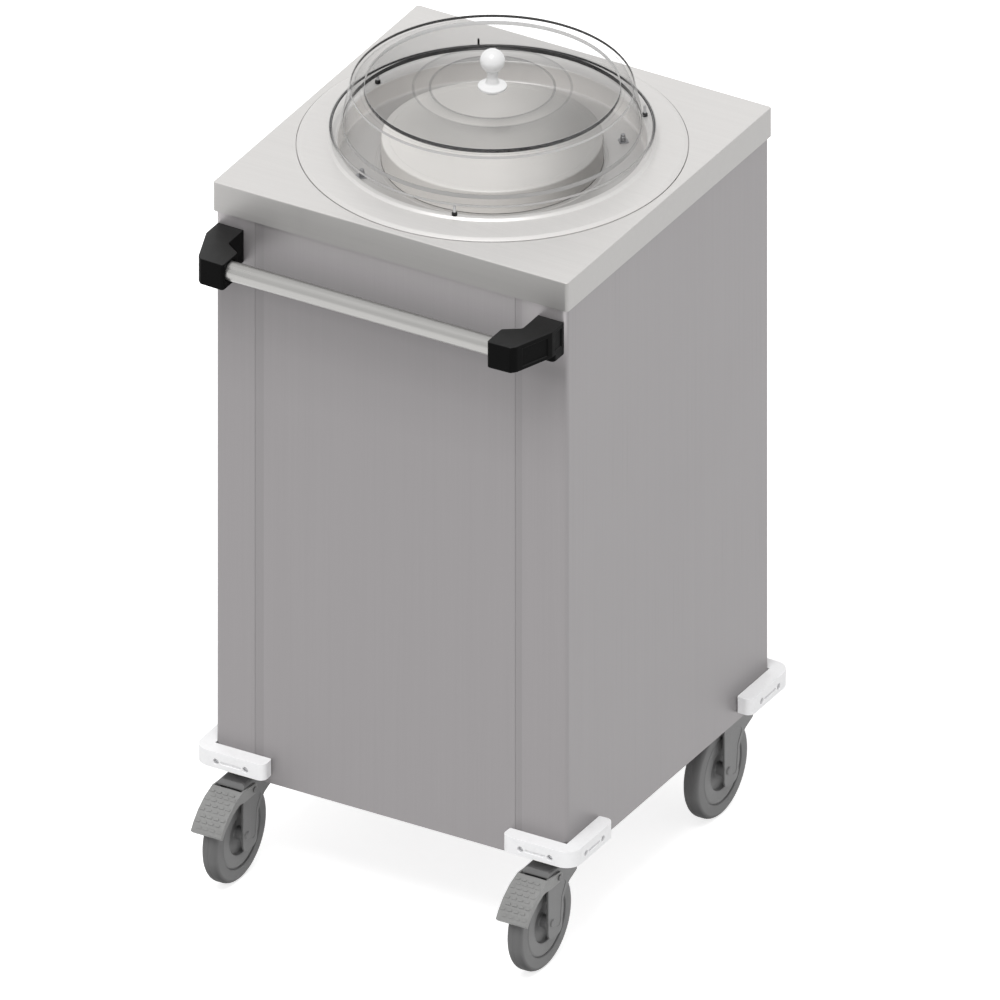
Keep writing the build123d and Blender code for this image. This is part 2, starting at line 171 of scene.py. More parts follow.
def colour_property(name, description, red, green, blue):
    """Colour setting with its default as screen levels."""
    return bpy.props.FloatVectorProperty(
        name=name, description=description, subtype="COLOR", size=3, min=0, max=1,
        default=level(red, green, blue))


class CartSizes(bpy.types.PropertyGroup):
    """Sizes that a user may change."""

    moulded_round: bpy.props.FloatProperty(
        name="Moulded edge", description="Rounding of the edges of moulded plastic pieces",
        default=0.0012, min=0, unit="LENGTH", subtype="DISTANCE")
    pressed_round: bpy.props.FloatProperty(
        name="Pressed edge", description="Rounding of the edges of the caster forks",
        default=0.0007, min=0, unit="LENGTH", subtype="DISTANCE")
    bracket_chamfer: bpy.props.FloatProperty(
        name="Bracket chamfer", description="Width of the chamfer round the handle brackets",
        default=0.0026, min=0, unit="LENGTH", subtype="DISTANCE")
    grain_pitch: bpy.props.FloatProperty(
        name="Grain pitch", description="Distance between the brush lines of the steel",
        default=0.0011, min=0.0001, unit="LENGTH", subtype="DISTANCE")
    spring_wire: bpy.props.FloatProperty(
        name="Spring wire", description="Diameter of the wire of the tension springs",
        default=0.0022, min=0.0005, unit="LENGTH", subtype="DISTANCE")
    floor_reach: bpy.props.FloatProperty(
        name="Floor reach", description="Half of the side of the studio floor",
        default=30.0, min=1, unit="LENGTH", subtype="DISTANCE")


class CartColours(bpy.types.PropertyGroup):
    """Colours that a user may change."""

    cabinet: colour_property("Cabinet", "Brushed steel of the panels", 145, 142, 143)
    worktop: colour_property("Worktop", "Brushed steel of the top", 219, 217, 215)
    flange: colour_property("Flange", "Brushed steel of the drop-in flange", 220, 218, 216)
    chute: colour_property("Chute", "Steel of the chute and its carrier", 176, 173, 170)
    platform: colour_property("Platform", "Cream enamel of the plate platform", 249, 246, 242)
    bumper: colour_property("Bumpers", "White corner bumpers", 252, 252, 253)
    bracket: colour_property("Brackets", "Black handle brackets", 20, 20, 20)
    bar: colour_property("Push bar", "Satin aluminium of the push bar", 168, 167, 165)
    caster: colour_property("Casters", "Grey plastic of the forks and wheels", 112, 112, 112)
    tyre: colour_property("Tyres", "Grey tread of the wheels", 112, 112, 112)
    pedal: colour_property("Pedals", "Grey plastic of the brake pedals", 140, 140, 139)
    knob: colour_property("Knob", "White knob of the dome", 240, 240, 240)
    # The two clear-edge colours are painted shade and painted highlights for the edges of the clear dome
    clear_edge: colour_property("Clear edge", "Dark look of the edges of the clear dome", 58, 58, 59)
    clear_edge_pale: colour_property("Pale edge", "Pale side of the clear dome's edges", 206, 206, 207)
    fastener: colour_property("Fasteners", "Plated screws, axles and rods", 182, 182, 184)
    stud: colour_property("Dome pins", "Black pins under the dome", 16, 16, 16)


# Shader maths

class Wire:
    """A socket of a material's nodes. Arithmetic on it adds nodes."""

    def __init__(self, finish, socket, kind):
        self.finish = finish
        self.socket = socket
        self.kind = kind

    def _joined(self, operation, first, second):
        kinds = [item.kind for item in (first, second) if isinstance(item, Wire)]
        if "COLOR" in kinds:
            blend = {"ADD": "ADD", "SUBTRACT": "SUBTRACT", "MULTIPLY": "MULTIPLY"}[operation]
            return self.finish.mix(first, second, 1.0, blend)
        if "VECTOR" in kinds:
            settings = {"operation": operation}
            return self.finish.node("ShaderNodeVectorMath", settings, {0: first, 1: second}, kind="VECTOR")
        return self.finish.node("ShaderNodeMath", {"operation": operation}, {0: first, 1: second})

    def __add__(self, other):
        return self._joined("ADD", self, other)

    def __radd__(self, other):
        return self._joined("ADD", other, self)

    def __sub__(self, other):
        return self._joined("SUBTRACT", self, other)

    def __rsub__(self, other):
        return self._joined("SUBTRACT", other, self)

    def __mul__(self, other):
        return self._joined("MULTIPLY", self, other)

    def __rmul__(self, other):
        return self._joined("MULTIPLY", other, self)

    def __pow__(self, other):
        return self._joined("POWER", self, other)

    def __abs__(self):
        return self.finish.node("ShaderNodeMath", {"operation": "ABSOLUTE"}, {0: self})


class Finish:
    """One material, or the world, and the nodes that make it."""

    def __init__(self, name, world=None):
        self.material = world or bpy.data.materials.new(name)
        self.material.use_nodes = True
        self.tree = self.material.node_tree
        self.tree.nodes.clear()

    def node(self, type_name, settings=None, inputs=None, output=0, kind="VALUE"):
        """A node with its settings set first, then its sockets. Returns one of its outputs."""
        made = self.tree.nodes.new(type_name)
        for key, value in (settings or {}).items():
            if key == "stops":
                self._set_stops(made, value)
            else:
                setattr(made, key, value)
        for key, value in (inputs or {}).items():
            self._feed(made.inputs[key], value)
        return Wire(self, made.outputs[output], kind)

    def _set_stops(self, ramp, stops):
        elements = ramp.color_ramp.elements
        while len(elements) < len(stops):
            elements.new(1.0)
        for element, (place, value) in zip(elements, stops):
            element.position = place
            element.color = (value, value, value, 1)

    def _feed(self, socket, value):
        if isinstance(value, Wire):
            self.tree.links.new(value.socket, socket)
        elif socket.type == "RGBA" and len(value) == 3:
            socket.default_value = (*value, 1)
        elif socket.type == "VECTOR" and isinstance(value, (int, float)):
            socket.default_value = (value, value, value)
        else:
            socket.default_value = value

    def mix(self, first, second, factor, blend="MIX"):
        """Blend of two colours."""
        settings = {"data_type": "RGBA", "blend_type": blend}
        inputs = {0: factor, 6: first, 7: second}
        return self.node("ShaderNodeMix", settings, inputs, output=2, kind="COLOR")

    def place(self):
        """Position on the piece, in metres."""
        return self.node("ShaderNodeTexCoord", output="Object", kind="VECTOR")

    def parts_of(self, vector):
        """The three numbers of a vector."""
        split = self.tree.nodes.new("ShaderNodeSeparateXYZ")
        self.tree.links.new(vector.socket, split.inputs[0])
        return [Wire(self, socket, "VALUE") for socket in split.outputs]

    def noise(self, where, scale, detail=2.0, roughness=0.5):
        """Soft random pattern from 0 to 1."""
        inputs = {"Vector": where, "Scale": scale, "Detail": detail, "Roughness": roughness}
        return self.node("ShaderNodeTexNoise", None, inputs)

    def ramp(self, value, *stops):
        """Number curve through (place, value) stops."""
        made = self.node("ShaderNodeValToRGB", {"stops": stops}, {0: value}, kind="COLOR")
        return self.node("ShaderNodeRGBToBW", None, {0: made})

    def surface(self, constants, base=None, bump=None, bump_depth=0.0, **varying):
        """Principled shader: constants sit on its own sockets, and only what varies is linked."""
        shader = self.tree.nodes.new("ShaderNodeBsdfPrincipled")
        for key, value in constants.items():
            self._feed(shader.inputs[key], value)
        if base is not None:
            self._feed(shader.inputs["Base Color"], base)
        for key, value in varying.items():
            self._feed(shader.inputs[key.replace("_", " ").title()], value)
        if bump is not None:
            inputs = {"Strength": 1.0, "Distance": bump_depth, "Height": bump}
            normal = self.node("ShaderNodeBump", None, inputs, kind="VECTOR")
            self._feed(shader.inputs["Normal"], normal)
        return Wire(self, shader.outputs[0], "SHADER")

    def seen_directly(self):
        """1 for rays from the camera, from glossy surfaces and through clear ones, else 0."""
        path = self.tree.nodes.new("ShaderNodeLightPath")
        seen, glossy, through = (
            Wire(self, path.outputs[name], "VALUE")
            for name in ("Is Camera Ray", "Is Glossy Ray", "Is Transmission Ray"))
        total = seen + glossy + through
        return self.node("ShaderNodeMath", {"operation": "MINIMUM"}, {0: total, 1: 1.0})

    def finished(self, shader, output_type="ShaderNodeOutputMaterial"):
        """Ends the material or the world with its output node."""
        output = self.tree.nodes.new(output_type)
        self.tree.links.new(shader.socket, output.inputs["Surface"])
        return self.material


def lighter(colour, share):
    """Colour made lighter or darker by a share of itself."""
    return tuple(min(1.0, value * (1 + share)) for value in colour)


# Finishes

GRAIN_ALONG = {"X": (0.008, 1.0, 1.0), "Y": (1.0, 0.008, 1.0), "Z": (1.0, 1.0, 0.008)}


def brushed_steel(name, colour, grain, rough=0.42, metal=0.45, shade=None):
    """Brushed sheet: fine lines along the grain, faint cloudiness and a few longer scratches."""
    finish = Finish(name)
    where = finish.place()
    along = where * GRAIN_ALONG[grain]
    pitch = bpy.context.scene.cart_sizes.grain_pitch
    fine = finish.noise(along, 1 / pitch, 3.0, 0.65)
    coarse = finish.noise(along, 0.18 / pitch, 2.0)
    cloud = finish.noise(where, 5.0, 3.0, 0.55)
    scratch = finish.ramp(finish.noise(along, 0.55 / pitch, 0.0), (0.0, 0.0), (0.70, 0.0), (0.78, 1.0))
    tone = 0.5 * fine + 0.3 * coarse + 0.2 * cloud
    base = finish.mix(lighter(colour, -0.10), lighter(colour, 0.08), tone)
    # shade paints light and shade into the colour
    if shade:
        base = base * shade(finish, where)
    roughness = rough + 0.12 * (fine - 0.5) + 0.08 * (cloud - 0.5) + 0.06 * scratch
    shader = finish.surface(
        {"Metallic": metal}, base=base, roughness=roughness, bump=fine + 0.4 * scratch, bump_depth=0.00002)
    return finish.finished(shader)


def facing_of(finish):
    """The three parts of the outward direction of a face."""
    return finish.parts_of(finish.node("ShaderNodeNewGeometry", output="Normal", kind="VECTOR"))


def into_view(across, along):
    """Distance over the floor away from the camera, from its two parts."""
    return VIEW_COS * along - VIEW_SIN * across


def painted_fold_shade(finish, where):
    """Painted shade on the worktop's folded edges, darker than its flat top, and painted light at the
    front's left end.
    """
    across, along = facing_of(finish)[:2]
    left = finish.ramp(
        finish.parts_of(where)[0] * (-1 / TOP_HIGH.x), (0.0, 0.0), (0.5, 0.0), (0.62, 0.5), (1.0, 1.0))
    return 1.0 - (0.51 - 0.16 * left) * along * along - 0.38 * across * across


def painted_overhang_shade(finish, where):
    """Painted shadow on the upper part of the front behind the push bar, and painted light on the ends
    just under the worktop.
    """
    across, along = facing_of(finish)[:2]
    height = finish.parts_of(where)[2]
    rise = (height - FRONT_SHADE_START) * (1 / FRONT_SHADE_RUN)
    painted_shadow = finish.ramp(rise, (0.0, 0.0), (0.20, 0.0), (0.31, 0.03), (0.42, 0.06), (0.52, 0.14),
                       (0.63, 0.25), (0.69, 0.36), (0.78, 0.36), (0.83, 0.25), (0.89, 0.08), (0.93, 0.0))
    ends = finish.ramp(
        abs(finish.parts_of(where)[0]) * (1 / 0.24), (0.0, 0.0), (0.72, 0.0), (0.85, 1.0))
    # glow is painted light: paler just under the worktop, and paler still at the ends
    glow = finish.ramp(rise, (0.0, 0.0), (0.88, 0.0), (0.93, 0.08), (1.0, 0.30))
    glow = glow + 0.50 * ends * finish.ramp(rise, (0.0, 0.0), (0.72, 0.0), (0.90, 1.0))
    front = finish.ramp(-1.0 * along, (0.0, 0.0), (0.4, 0.0), (0.9, 1.0))
    side = finish.ramp(abs(across), (0.0, 0.0), (0.4, 0.0), (0.9, 1.0))
    return 1.0 - (painted_shadow - glow) * front - 0.05 * side


def painted_well_shade(finish, where):
    """Sunk well: painted shade makes its floor dimmer than the rim, and painted light makes its wall
    paler.
    """
    across, along, up = finish.parts_of(where)
    reach = (across * across + along * along) ** 0.5
    inside = finish.ramp(reach * (0.5 / (WELL_RADIUS * MM)), (0.0, 1.0), (0.502, 1.0), (0.506, 0.0))
    low = finish.ramp((up - WELL_FLOOR * MM) * (1 / 0.02), (0.0, 1.0), (0.3, 1.0), (0.6, 0.0))
    flat = finish.ramp(facing_of(finish)[2], (0.0, 0.0), (0.3, 0.0), (0.9, 1.0))
    away = 0.5 + into_view(across, along) * (0.5 / (WELL_RADIUS * MM))
    rear = finish.ramp(away, (0.0, 0.0), (0.6, 0.0), (0.85, 1.0))
    return 1.0 + (0.38 * (1.0 - flat) - (0.30 - 0.10 * rear) * flat * low) * inside


def plated_metal(name, colour, rough=0.35, metal=0.9):
    """Plated steel: fine turning lines, small spots and duller patches."""
    finish = Finish(name)
    where = finish.place()
    spots = finish.noise(where, 900.0, 2.0)
    patches = finish.noise(where, 60.0, 2.0)
    base = finish.mix(lighter(colour, -0.15), lighter(colour, 0.05), 0.5 * spots + 0.5 * patches)
    roughness = rough + 0.15 * (patches - 0.5)
    shader = finish.surface(
        {"Metallic": metal}, base=base, roughness=roughness, bump=spots, bump_depth=0.00002)
    return finish.finished(shader)


def rubbed_patches(finish, where):
    """Patches where hands and plates have rubbed the plastic."""
    return finish.ramp(finish.noise(where, 70.0, 3.0, 0.7), (0.0, 0.0), (0.52, 0.0), (0.75, 1.0))


def moulded_plastic(
        name, colour, rough=0.45, grain=1400.0, depth=0.00004, mottle=0.06, dirt=0.0, gloss=0.5):
    """Moulded plastic: spark-eroded grain, faint flow marks and rubbed patches."""
    finish = Finish(name)
    where = finish.place()
    pimples = finish.noise(where, grain, 2.0, 0.6)
    flow = finish.noise(where, 24.0, 3.0, 0.6)
    rubbed = rubbed_patches(finish, where)
    base = finish.mix(lighter(colour, -mottle), lighter(colour, mottle), 0.6 * flow + 0.4 * pimples)
    if dirt:
        base = finish.mix(base, lighter(colour, -dirt), rubbed)
    roughness = rough + 0.10 * (pimples - 0.5) - 0.08 * rubbed
    shader = finish.surface(
        {"Specular IOR Level": gloss}, base=base, roughness=roughness, bump=pimples, bump_depth=depth)
    return finish.finished(shader)


def bracket_plastic(name, colour):
    """Black plastic of the brackets: grained, with a paler top that is painted light under a soft gleam,
    and darker, duller sides that are painted shade.
    """
    finish = Finish(name)
    where = finish.place()
    pimples = finish.noise(where, 1400.0, 2.0, 0.6)
    flow = finish.noise(where, 24.0, 3.0, 0.6)
    rubbed = rubbed_patches(finish, where)
    painted_top_light = finish.ramp(facing_of(finish)[2], (0.0, 0.0), (0.4, 0.0), (0.8, 1.0))
    roughness = 0.42 + 0.10 * (pimples - 0.5) - 0.08 * rubbed
    top = finish.surface(
        {"Specular IOR Level": 0.25}, base=finish.mix(lighter(colour, 0.2), lighter(colour, 0.9), flow),
        roughness=roughness, bump=pimples, bump_depth=0.00004)
    sides = finish.surface(
        {"Specular IOR Level": 0.04}, base=finish.mix(lighter(colour, -0.8), lighter(colour, -0.4), flow),
        roughness=roughness + 0.1, bump=pimples, bump_depth=0.00004)
    shader = finish.node("ShaderNodeMixShader", None, {0: painted_top_light, 1: sides, 2: top}, kind="SHADER")
    return finish.finished(shader)


def tread_rubber(name, colour, axles):
    """Grey tread: fine speckle, scuffs, a darker band on the rolling face, and painted shadow on it near
    the floor.
    """
    finish = Finish(name)
    where = finish.place()
    speckle = finish.noise(where, 1100.0, 2.0, 0.7)
    scuff = finish.noise(where * (0.15, 1.0, 1.0), 260.0, 3.0, 0.7)
    along, up = finish.parts_of(where - axles)[1:]
    reach = (along * along + up * up) ** 0.5
    tread = finish.ramp(reach * (1 / (WHEEL_RADIUS * MM)), (0.0, 0.0), (0.90, 0.0), (0.97, 1.0))
    base = finish.mix(lighter(colour, -0.12), lighter(colour, 0.10), 0.5 * speckle + 0.5 * scuff)
    base = finish.mix(base, lighter(colour, -0.45), 0.45 * tread)
    # Painted contact shadow on the tread where it is near the floor
    height = finish.parts_of(finish.node("ShaderNodeNewGeometry", output="Position", kind="VECTOR"))[2]
    painted_floor_shadow = finish.ramp(height * (1 / 0.05), (0.0, 1.0), (0.5, 0.8), (1.0, 0.0))
    base = base * (1.0 - 0.88 * painted_floor_shadow * tread)
    roughness = 0.55 + 0.15 * (scuff - 0.5) + 0.12 * tread
    shader = finish.surface(
        {}, base=base, roughness=roughness, bump=speckle + 0.6 * scuff, bump_depth=0.00006)
    return finish.finished(shader)


def enamel(name, colour):
    """Smooth cream coating with soft orange peel, fine plate marks and painted shade on its right side."""
    finish = Finish(name)
    where = finish.place()
    peel = finish.noise(where, 380.0, 1.0)
    cloud = finish.noise(where, 9.0, 3.0)
    streaks = finish.noise(where * (1.0, 0.06, 1.0), 420.0, 2.0, 0.6)
    marks = finish.ramp(streaks, (0.0, 0.0), (0.62, 0.0), (0.72, 1.0))
    base = finish.mix(lighter(colour, -0.05), lighter(colour, 0.03), cloud)
    base = finish.mix(base, lighter(colour, -0.16), 0.25 * marks)
    across, along = finish.parts_of(where)[:2]
    to_right = VIEW_COS * across + VIEW_SIN * along
    painted_far_shade = finish.ramp(
        to_right * (1 / PLATE_HIGH.x), (0.0, 0.06), (0.07, 0.09), (0.43, 0.28), (0.61, 0.42),
        (0.70, 0.49), (0.79, 0.54), (0.88, 0.57), (1.0, 0.60))
    base = base * (1.0 - painted_far_shade)
    roughness = 0.32 + 0.10 * (cloud - 0.5) + 0.12 * marks
    shader = finish.surface({"IOR": 1.5}, base=base, roughness=roughness, bump=peel, bump_depth=0.00003)
    return finish.finished(shader)


def clear_plastic(name, colour):
    """Clear cover: see-through where it faces the eye and dark along its folds, with painted shade along
    the two grooves in its top, and smoke over the top that fades towards the back as painted light.
    """
    finish = Finish(name)
    where = finish.place()
    across, along, up = finish.parts_of(where)
    reach = (across * across + along * along) ** 0.5
    haze = finish.noise(where, 14.0, 3.0)
    facing = finish.node("ShaderNodeLayerWeight", None, {"Blend": 0.5}, output="Facing")
    edge = facing ** 6.0
    # Painted dark lines along the two grooves of the top
    lines = 0.0 * reach
    for radius, strength in DOME_LINES:
        near = abs(reach - radius * MM) * (1 / (1.8 * MM))
        lines = lines + strength * finish.ramp(near, (0.0, 1.0), (0.6, 1.0), (1.0, 0.0))
    on_top = finish.ramp(up - (DOME_HIGH.z - 0.006), (0.0, 0.0), (0.001, 1.0))
    disc = finish.ramp(reach * (1 / (DISC_RADIUS * MM)), (0.0, 1.0), (0.99, 1.0), (1.0, 0.0))
    cover = 0.010 + 0.015 * haze + 0.75 * edge + lines * on_top
    solid = finish.surface(
        {"IOR": 1.5}, base=finish.mix(colour, lighter(colour, 3.0), haze), roughness=0.06 + 0.05 * haze)
    # The smoke over the top fades towards the back: painted light on what is seen through it.
    behind = finish.ramp(0.5 + along * (1 / 0.30), (0.0, 0.0), (0.5, 0.2), (1.0, 1.0))
    smoke_share = disc * facing * (1.0 - 0.92 * behind)
    clear, smoke = (
        finish.node("ShaderNodeBsdfTransparent", None, {"Color": (tint, tint, tint)}, kind="SHADER")
        for tint in (CLEAR_TINT, SMOKE_TINT))
    open_part = finish.node(
        "ShaderNodeMixShader", None, {0: smoke_share, 1: clear, 2: smoke}, kind="SHADER")
    shader = finish.node("ShaderNodeMixShader", None, {0: cover, 1: open_part, 2: solid}, kind="SHADER")
    return finish.finished(shader)


def painted_brim_shade(name, colour):
    """Edge of the clear brim: painted shade, dark at its far half and sides, and clear in front."""
    finish = Finish(name)
    where = finish.place()
    across, along = finish.parts_of(where)[:2]
    away = into_view(across, along) * (1 / (2 * DOME_HIGH.x))
    haze = finish.noise(where, 40.0, 3.0)
    share = finish.ramp(0.5 + away, (0.0, 0.0), (0.30, 0.0), (0.42, 0.45), (0.50, 0.95), (1.0, 0.70))
    solid = finish.surface(
        {"IOR": 1.5}, base=finish.mix(colour, lighter(colour, 0.4), haze), roughness=0.2)
    clear = finish.node("ShaderNodeBsdfTransparent", None, {"Color": (1.0, 1.0, 1.0)}, kind="SHADER")
    shader = finish.node("ShaderNodeMixShader", None, {0: share, 1: clear, 2: solid}, kind="SHADER")
    return finish.finished(shader)


def finishes():
    """All the materials by name, made once."""
    if _finish_store:
        return _finish_store
    colours = bpy.context.scene.cart_colours
    made = {
        "cabinet": brushed_steel("cabinet_brushed", colours.cabinet, "Z", shade=painted_overhang_shade),
        # The seam strips take a darker copy of the cabinet steel: painted shade in the seams.
        "seam": brushed_steel(
            "seam_brushed", lighter(colours.cabinet, -0.09), "Z", shade=painted_overhang_shade),
        "worktop": brushed_steel("worktop_brushed", colours.worktop, "X", metal=0.35, shade=painted_fold_shade),
        "flange": brushed_steel(
            "flange_brushed", colours.flange, "X", rough=0.38, metal=0.28, shade=painted_well_shade),
        "chute": brushed_steel("chute_steel", colours.chute, "Z", rough=0.38, metal=0.7),
        "platform": enamel("platform_enamel", colours.platform),
        "bumper": moulded_plastic("bumper_white", colours.bumper, rough=0.42, mottle=0.02, dirt=0.05),
        "bracket": bracket_plastic("bracket_black", colours.bracket),
        "bar": brushed_steel("push_bar_satin", colours.bar, "X", rough=0.30, metal=0.8),
        "caster": moulded_plastic("caster_grey", colours.caster, rough=0.42, dirt=0.12),
        "pedal": moulded_plastic(
            "pedal_grey", colours.pedal, rough=0.5, grain=330.0, depth=0.0002, mottle=0.22),
        "knob": moulded_plastic(
            "knob_white", colours.knob, rough=0.18, grain=300.0, depth=0.00001, mottle=0.015),
        "stud": moulded_plastic("stud_black", colours.stud, rough=0.4, gloss=0.25),
        "bush": moulded_plastic("bush_white", colours.bumper, rough=0.5),
        "fastener": plated_metal("fastener_plated", colours.fastener),
        "catch": plated_metal("catch_plated", lighter(colours.fastener, -0.25)),
        "spring": plated_metal("spring_wire", colours.fastener, rough=0.3),
        "clear": clear_plastic("dome_clear", colours.clear_edge),
        "painted_brim_shade": painted_brim_shade("dome_brim_line", lighter(colours.clear_edge, 0.3)),
        # edge_dark and the edge_pale_ tones are painted shade and painted highlights on the rings in the
        # clear cover; plain edge_pale colours the pin posts.
        "edge_dark": moulded_plastic("dome_edge_dark", colours.clear_edge, rough=0.25, mottle=0.15),
        "edge_pale": moulded_plastic(
            "dome_edge_pale", colours.clear_edge_pale, rough=0.25, mottle=0.04),
    }
    for word, shade, mottle in PAINTED_DOME_EDGE_TONES:
        made[f"edge_pale_{word}"] = moulded_plastic(
            f"{word}_edge_pale", level(*shade), rough=0.25, mottle=mottle)
    _finish_store.update(made)
    return _finish_store


_finish_store = {}


# Shapes

def rounded(corners, steps=6):
    """Points of a closed outline whose (x, y, radius) corners become arcs."""
    points = []
    for index, corner in enumerate(corners):
        here = Vector(corner[:2])
        radius = corner[2] if len(corner) > 2 else 0
        if radius <= 0:
            points.append((here.x, here.y))
            continue
        back = (Vector(corners[index - 1][:2]) - here).normalized()
        ahead = (Vector(corners[(index + 1) % len(corners)][:2]) - here).normalized()
        half = back.angle(ahead) / 2
        centre = here + (back + ahead).normalized() * (radius / math.sin(half))
        first = here + back * (radius / math.tan(half)) - centre
        last = here + ahead * (radius / math.tan(half)) - centre
        start = math.atan2(first.y, first.x)
        sweep = (math.atan2(last.y, last.x) - start + math.pi) % math.tau - math.pi
        for step in range(steps + 1):
            angle = start + sweep * step / steps
            points.append((centre.x + radius * math.cos(angle), centre.y + radius * math.sin(angle)))
    return points


def circle(radius, x=0.0, y=0.0, steps=32):
    """Points of a circle."""
    turns = [math.tau * step / steps for step in range(steps)]
    return [(x + radius * math.cos(turn), y + radius * math.sin(turn)) for turn in turns]


class Shell:
    """Closed surfaces gathered into one mesh. It is drawn in millimetres."""

    TO_SPACE = {
        "X": lambda a, b, c: (c, a, b),
        "Y": lambda a, b, c: (a, c, b),
        "Z": lambda a, b, c: (a, b, c),
    }

    def __init__(self):
        self.points = []
        self.faces = []

    def add(self, points, faces):
        start = len(self.points)
        self.points += [Vector(point) for point in points]
        self.faces += [[start + index for index in face] for face in faces]
        return self

    def prism(self, outline, low, high, axis="Z"):
        """Outline carried from low to high along an axis."""
        place = self.TO_SPACE[axis]
        count = len(outline)
        points = [place(a, b, end) for end in (low, high) for a, b in outline]
        faces = [list(range(count)), list(range(count, 2 * count))]
        for index in range(count):
            after = (index + 1) % count
            faces.append([index, after, count + after, count + index])
        return self.add(points, faces)

    def lathe(self, outline, steps=96, axis="Z", centre=(0, 0, 0)):
        """Closed (radius, height) outline turned about an axis through centre."""
        place = self.TO_SPACE[axis]
        count = len(outline)
        points = []
        for step in range(steps):
            turn = math.tau * step / steps
            for radius, height in outline:
                spot = place(radius * math.cos(turn), radius * math.sin(turn), height)
                points.append(Vector(spot) + Vector(centre))
        faces = []
        for step in range(steps):
            here, there = step * count, (step + 1) % steps * count
            for index in range(count):
                after = (index + 1) % count
                if outline[index][0] > 0 or outline[after][0] > 0:
                    faces.append([here + index, here + after, there + after, there + index])
        return self.add(points, faces)

    def tube(self, path, radius, sides=6):
        """Round tube along a list of points."""
        points, faces = [], []
        for index, spot in enumerate(path):
            ahead = (path[min(index + 1, len(path) - 1)] - path[max(index - 1, 0)]).normalized()
            side = ahead.cross(Vector((0, 0, 1)))
            side = side.normalized() if side.length > 1e-4 else Vector((1, 0, 0))
            up = side.cross(ahead)
            for turn in (math.tau * step / sides for step in range(sides)):
                points.append(spot + radius * (side * math.cos(turn) + up * math.sin(turn)))
        for index in range(len(path) - 1):
            for step in range(sides):
                after = (step + 1) % sides
                faces.append([index * sides + step, index * sides + after,
                              (index + 1) * sides + after, (index + 1) * sides + step])
        last = (len(path) - 1) * sides
        faces.append(list(range(sides)))
        faces.append(list(range(last, last + sides)))
        return self.add(points, faces)

    def moved(self, x=0.0, y=0.0, z=0.0):
        self.points = [point + Vector((x, y, z)) for point in self.points]
        return self

    def turned(self, degrees):
        """Turned about the Z axis."""
        turn = math.radians(degrees)
        cos, sin = math.cos(turn), math.sin(turn)
        self.points = [Vector((p.x * cos - p.y * sin, p.x * sin + p.y * cos, p.z)) for p in self.points]
        return self

    def mirrored(self, x=1, y=1):
        self.points = [Vector((point.x * x, point.y * y, point.z)) for point in self.points]
        return self

    def swapped(self):
        """X and Y changed over, for the other arm of a corner."""
        self.points = [Vector((point.y, point.x, point.z)) for point in self.points]
        return self

    def join(self, other):
        return self.add(other.points, other.faces)

    def mesh(self, name):
        """Clean mesh in metres with outward faces."""
        made = bpy.data.meshes.new(name)
        made.from_pydata([point * MM for point in self.points], [], self.faces)
        work = bmesh.new()
        work.from_mesh(made)
        bmesh.ops.remove_doubles(work, verts=work.verts, dist=1e-6)
        bmesh.ops.dissolve_degenerate(work, edges=work.edges, dist=1e-7)
        bmesh.ops.recalc_face_normals(work, faces=work.faces)
        work.to_mesh(made)
        work.free()
        return made


def bare_object(name, mesh):
    """Object linked to the scene."""
    made = bpy.data.objects.new(name, mesh)
    bpy.context.scene.collection.objects.link(made)
    return made


def shaped(name, shell, cuts=(), keep=None):
    """Object from a shell, with other shells cut out of it or one that it is cut down to."""
    target = bare_object(name, shell.mesh(name))
    tools = [("DIFFERENCE", cut) for cut in cuts]
    if keep is not None:
        tools.insert(0, ("INTERSECT", keep))
    if not tools:
        return target
    helpers = []
    for operation, tool in tools:
        helper = bare_object(name + "_tool", tool.mesh(name + "_tool"))
        cut = target.modifiers.new("cut", "BOOLEAN")
        cut.operation = operation
        cut.object = helper
        cut.solver = "EXACT"
        helpers.append(helper)
    graph = bpy.context.evaluated_depsgraph_get()
    carved = bpy.data.meshes.new_from_object(target.evaluated_get(graph))
    if not carved.polygons:
        raise RuntimeError(f"nothing is left of {name} after its cuts")
    target.modifiers.clear()
    target.data = carved
    for helper in helpers:
        bpy.data.objects.remove(helper)
    return target


def dress(piece, body, finish, replaced=(), edge=0.0, chamfer=0.0, crease=35.0):
    """Gives a piece its finish, soft edges and body."""
    mesh = piece.data
    mesh.materials.clear()
    mesh.materials.append(finishes()[finish])
    mesh.polygons.foreach_set("use_smooth", [True] * len(mesh.polygons))
    mesh.set_sharp_from_angle(angle=math.radians(crease))
    for width, segments, limit in ((chamfer, 1, 50.0), (edge, 3, 28.0)):
        if width > 0:
            bevel = piece.modifiers.new("edges", "BEVEL")
            bevel.width = width
            bevel.segments = segments
            bevel.limit_method = "ANGLE"
            bevel.angle_limit = math.radians(limit)
            bevel.use_clamp_overlap = True
    if edge > 0 or chamfer > 0:
        normals = piece.modifiers.new("normals", "WEIGHTED_NORMAL")
        normals.keep_sharp = True
    if replaced:
        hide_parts(*replaced)
    if body:
        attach(piece, body)
    return piece


def pivot_of(corner):
    """Where a caster's swivel axis meets the floor, in millimetres."""
    low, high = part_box(f"swivel_head_{corner}")
    return (low.x + high.x) / 2 / MM, (low.y + high.y) / 2 / MM


def finish_node(node, finish):
    """New material on a CAD node whose shape stays."""
    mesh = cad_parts[node].data
    mesh.materials.clear()
    mesh.materials.append(finishes()[finish])


# Cabinet and top

def finish_cabinet():
    """Brushed steel on every sheet of the cabinet."""
    sheets = ["side_panel_left", "side_panel_right", "front_panel", "back_panel", "base_plate"]
    for node in sheets + [f"corner_post_{corner}" for corner in CORNERS]:
        finish_node(node, "cabinet")
    finish_node("worktop", "worktop")


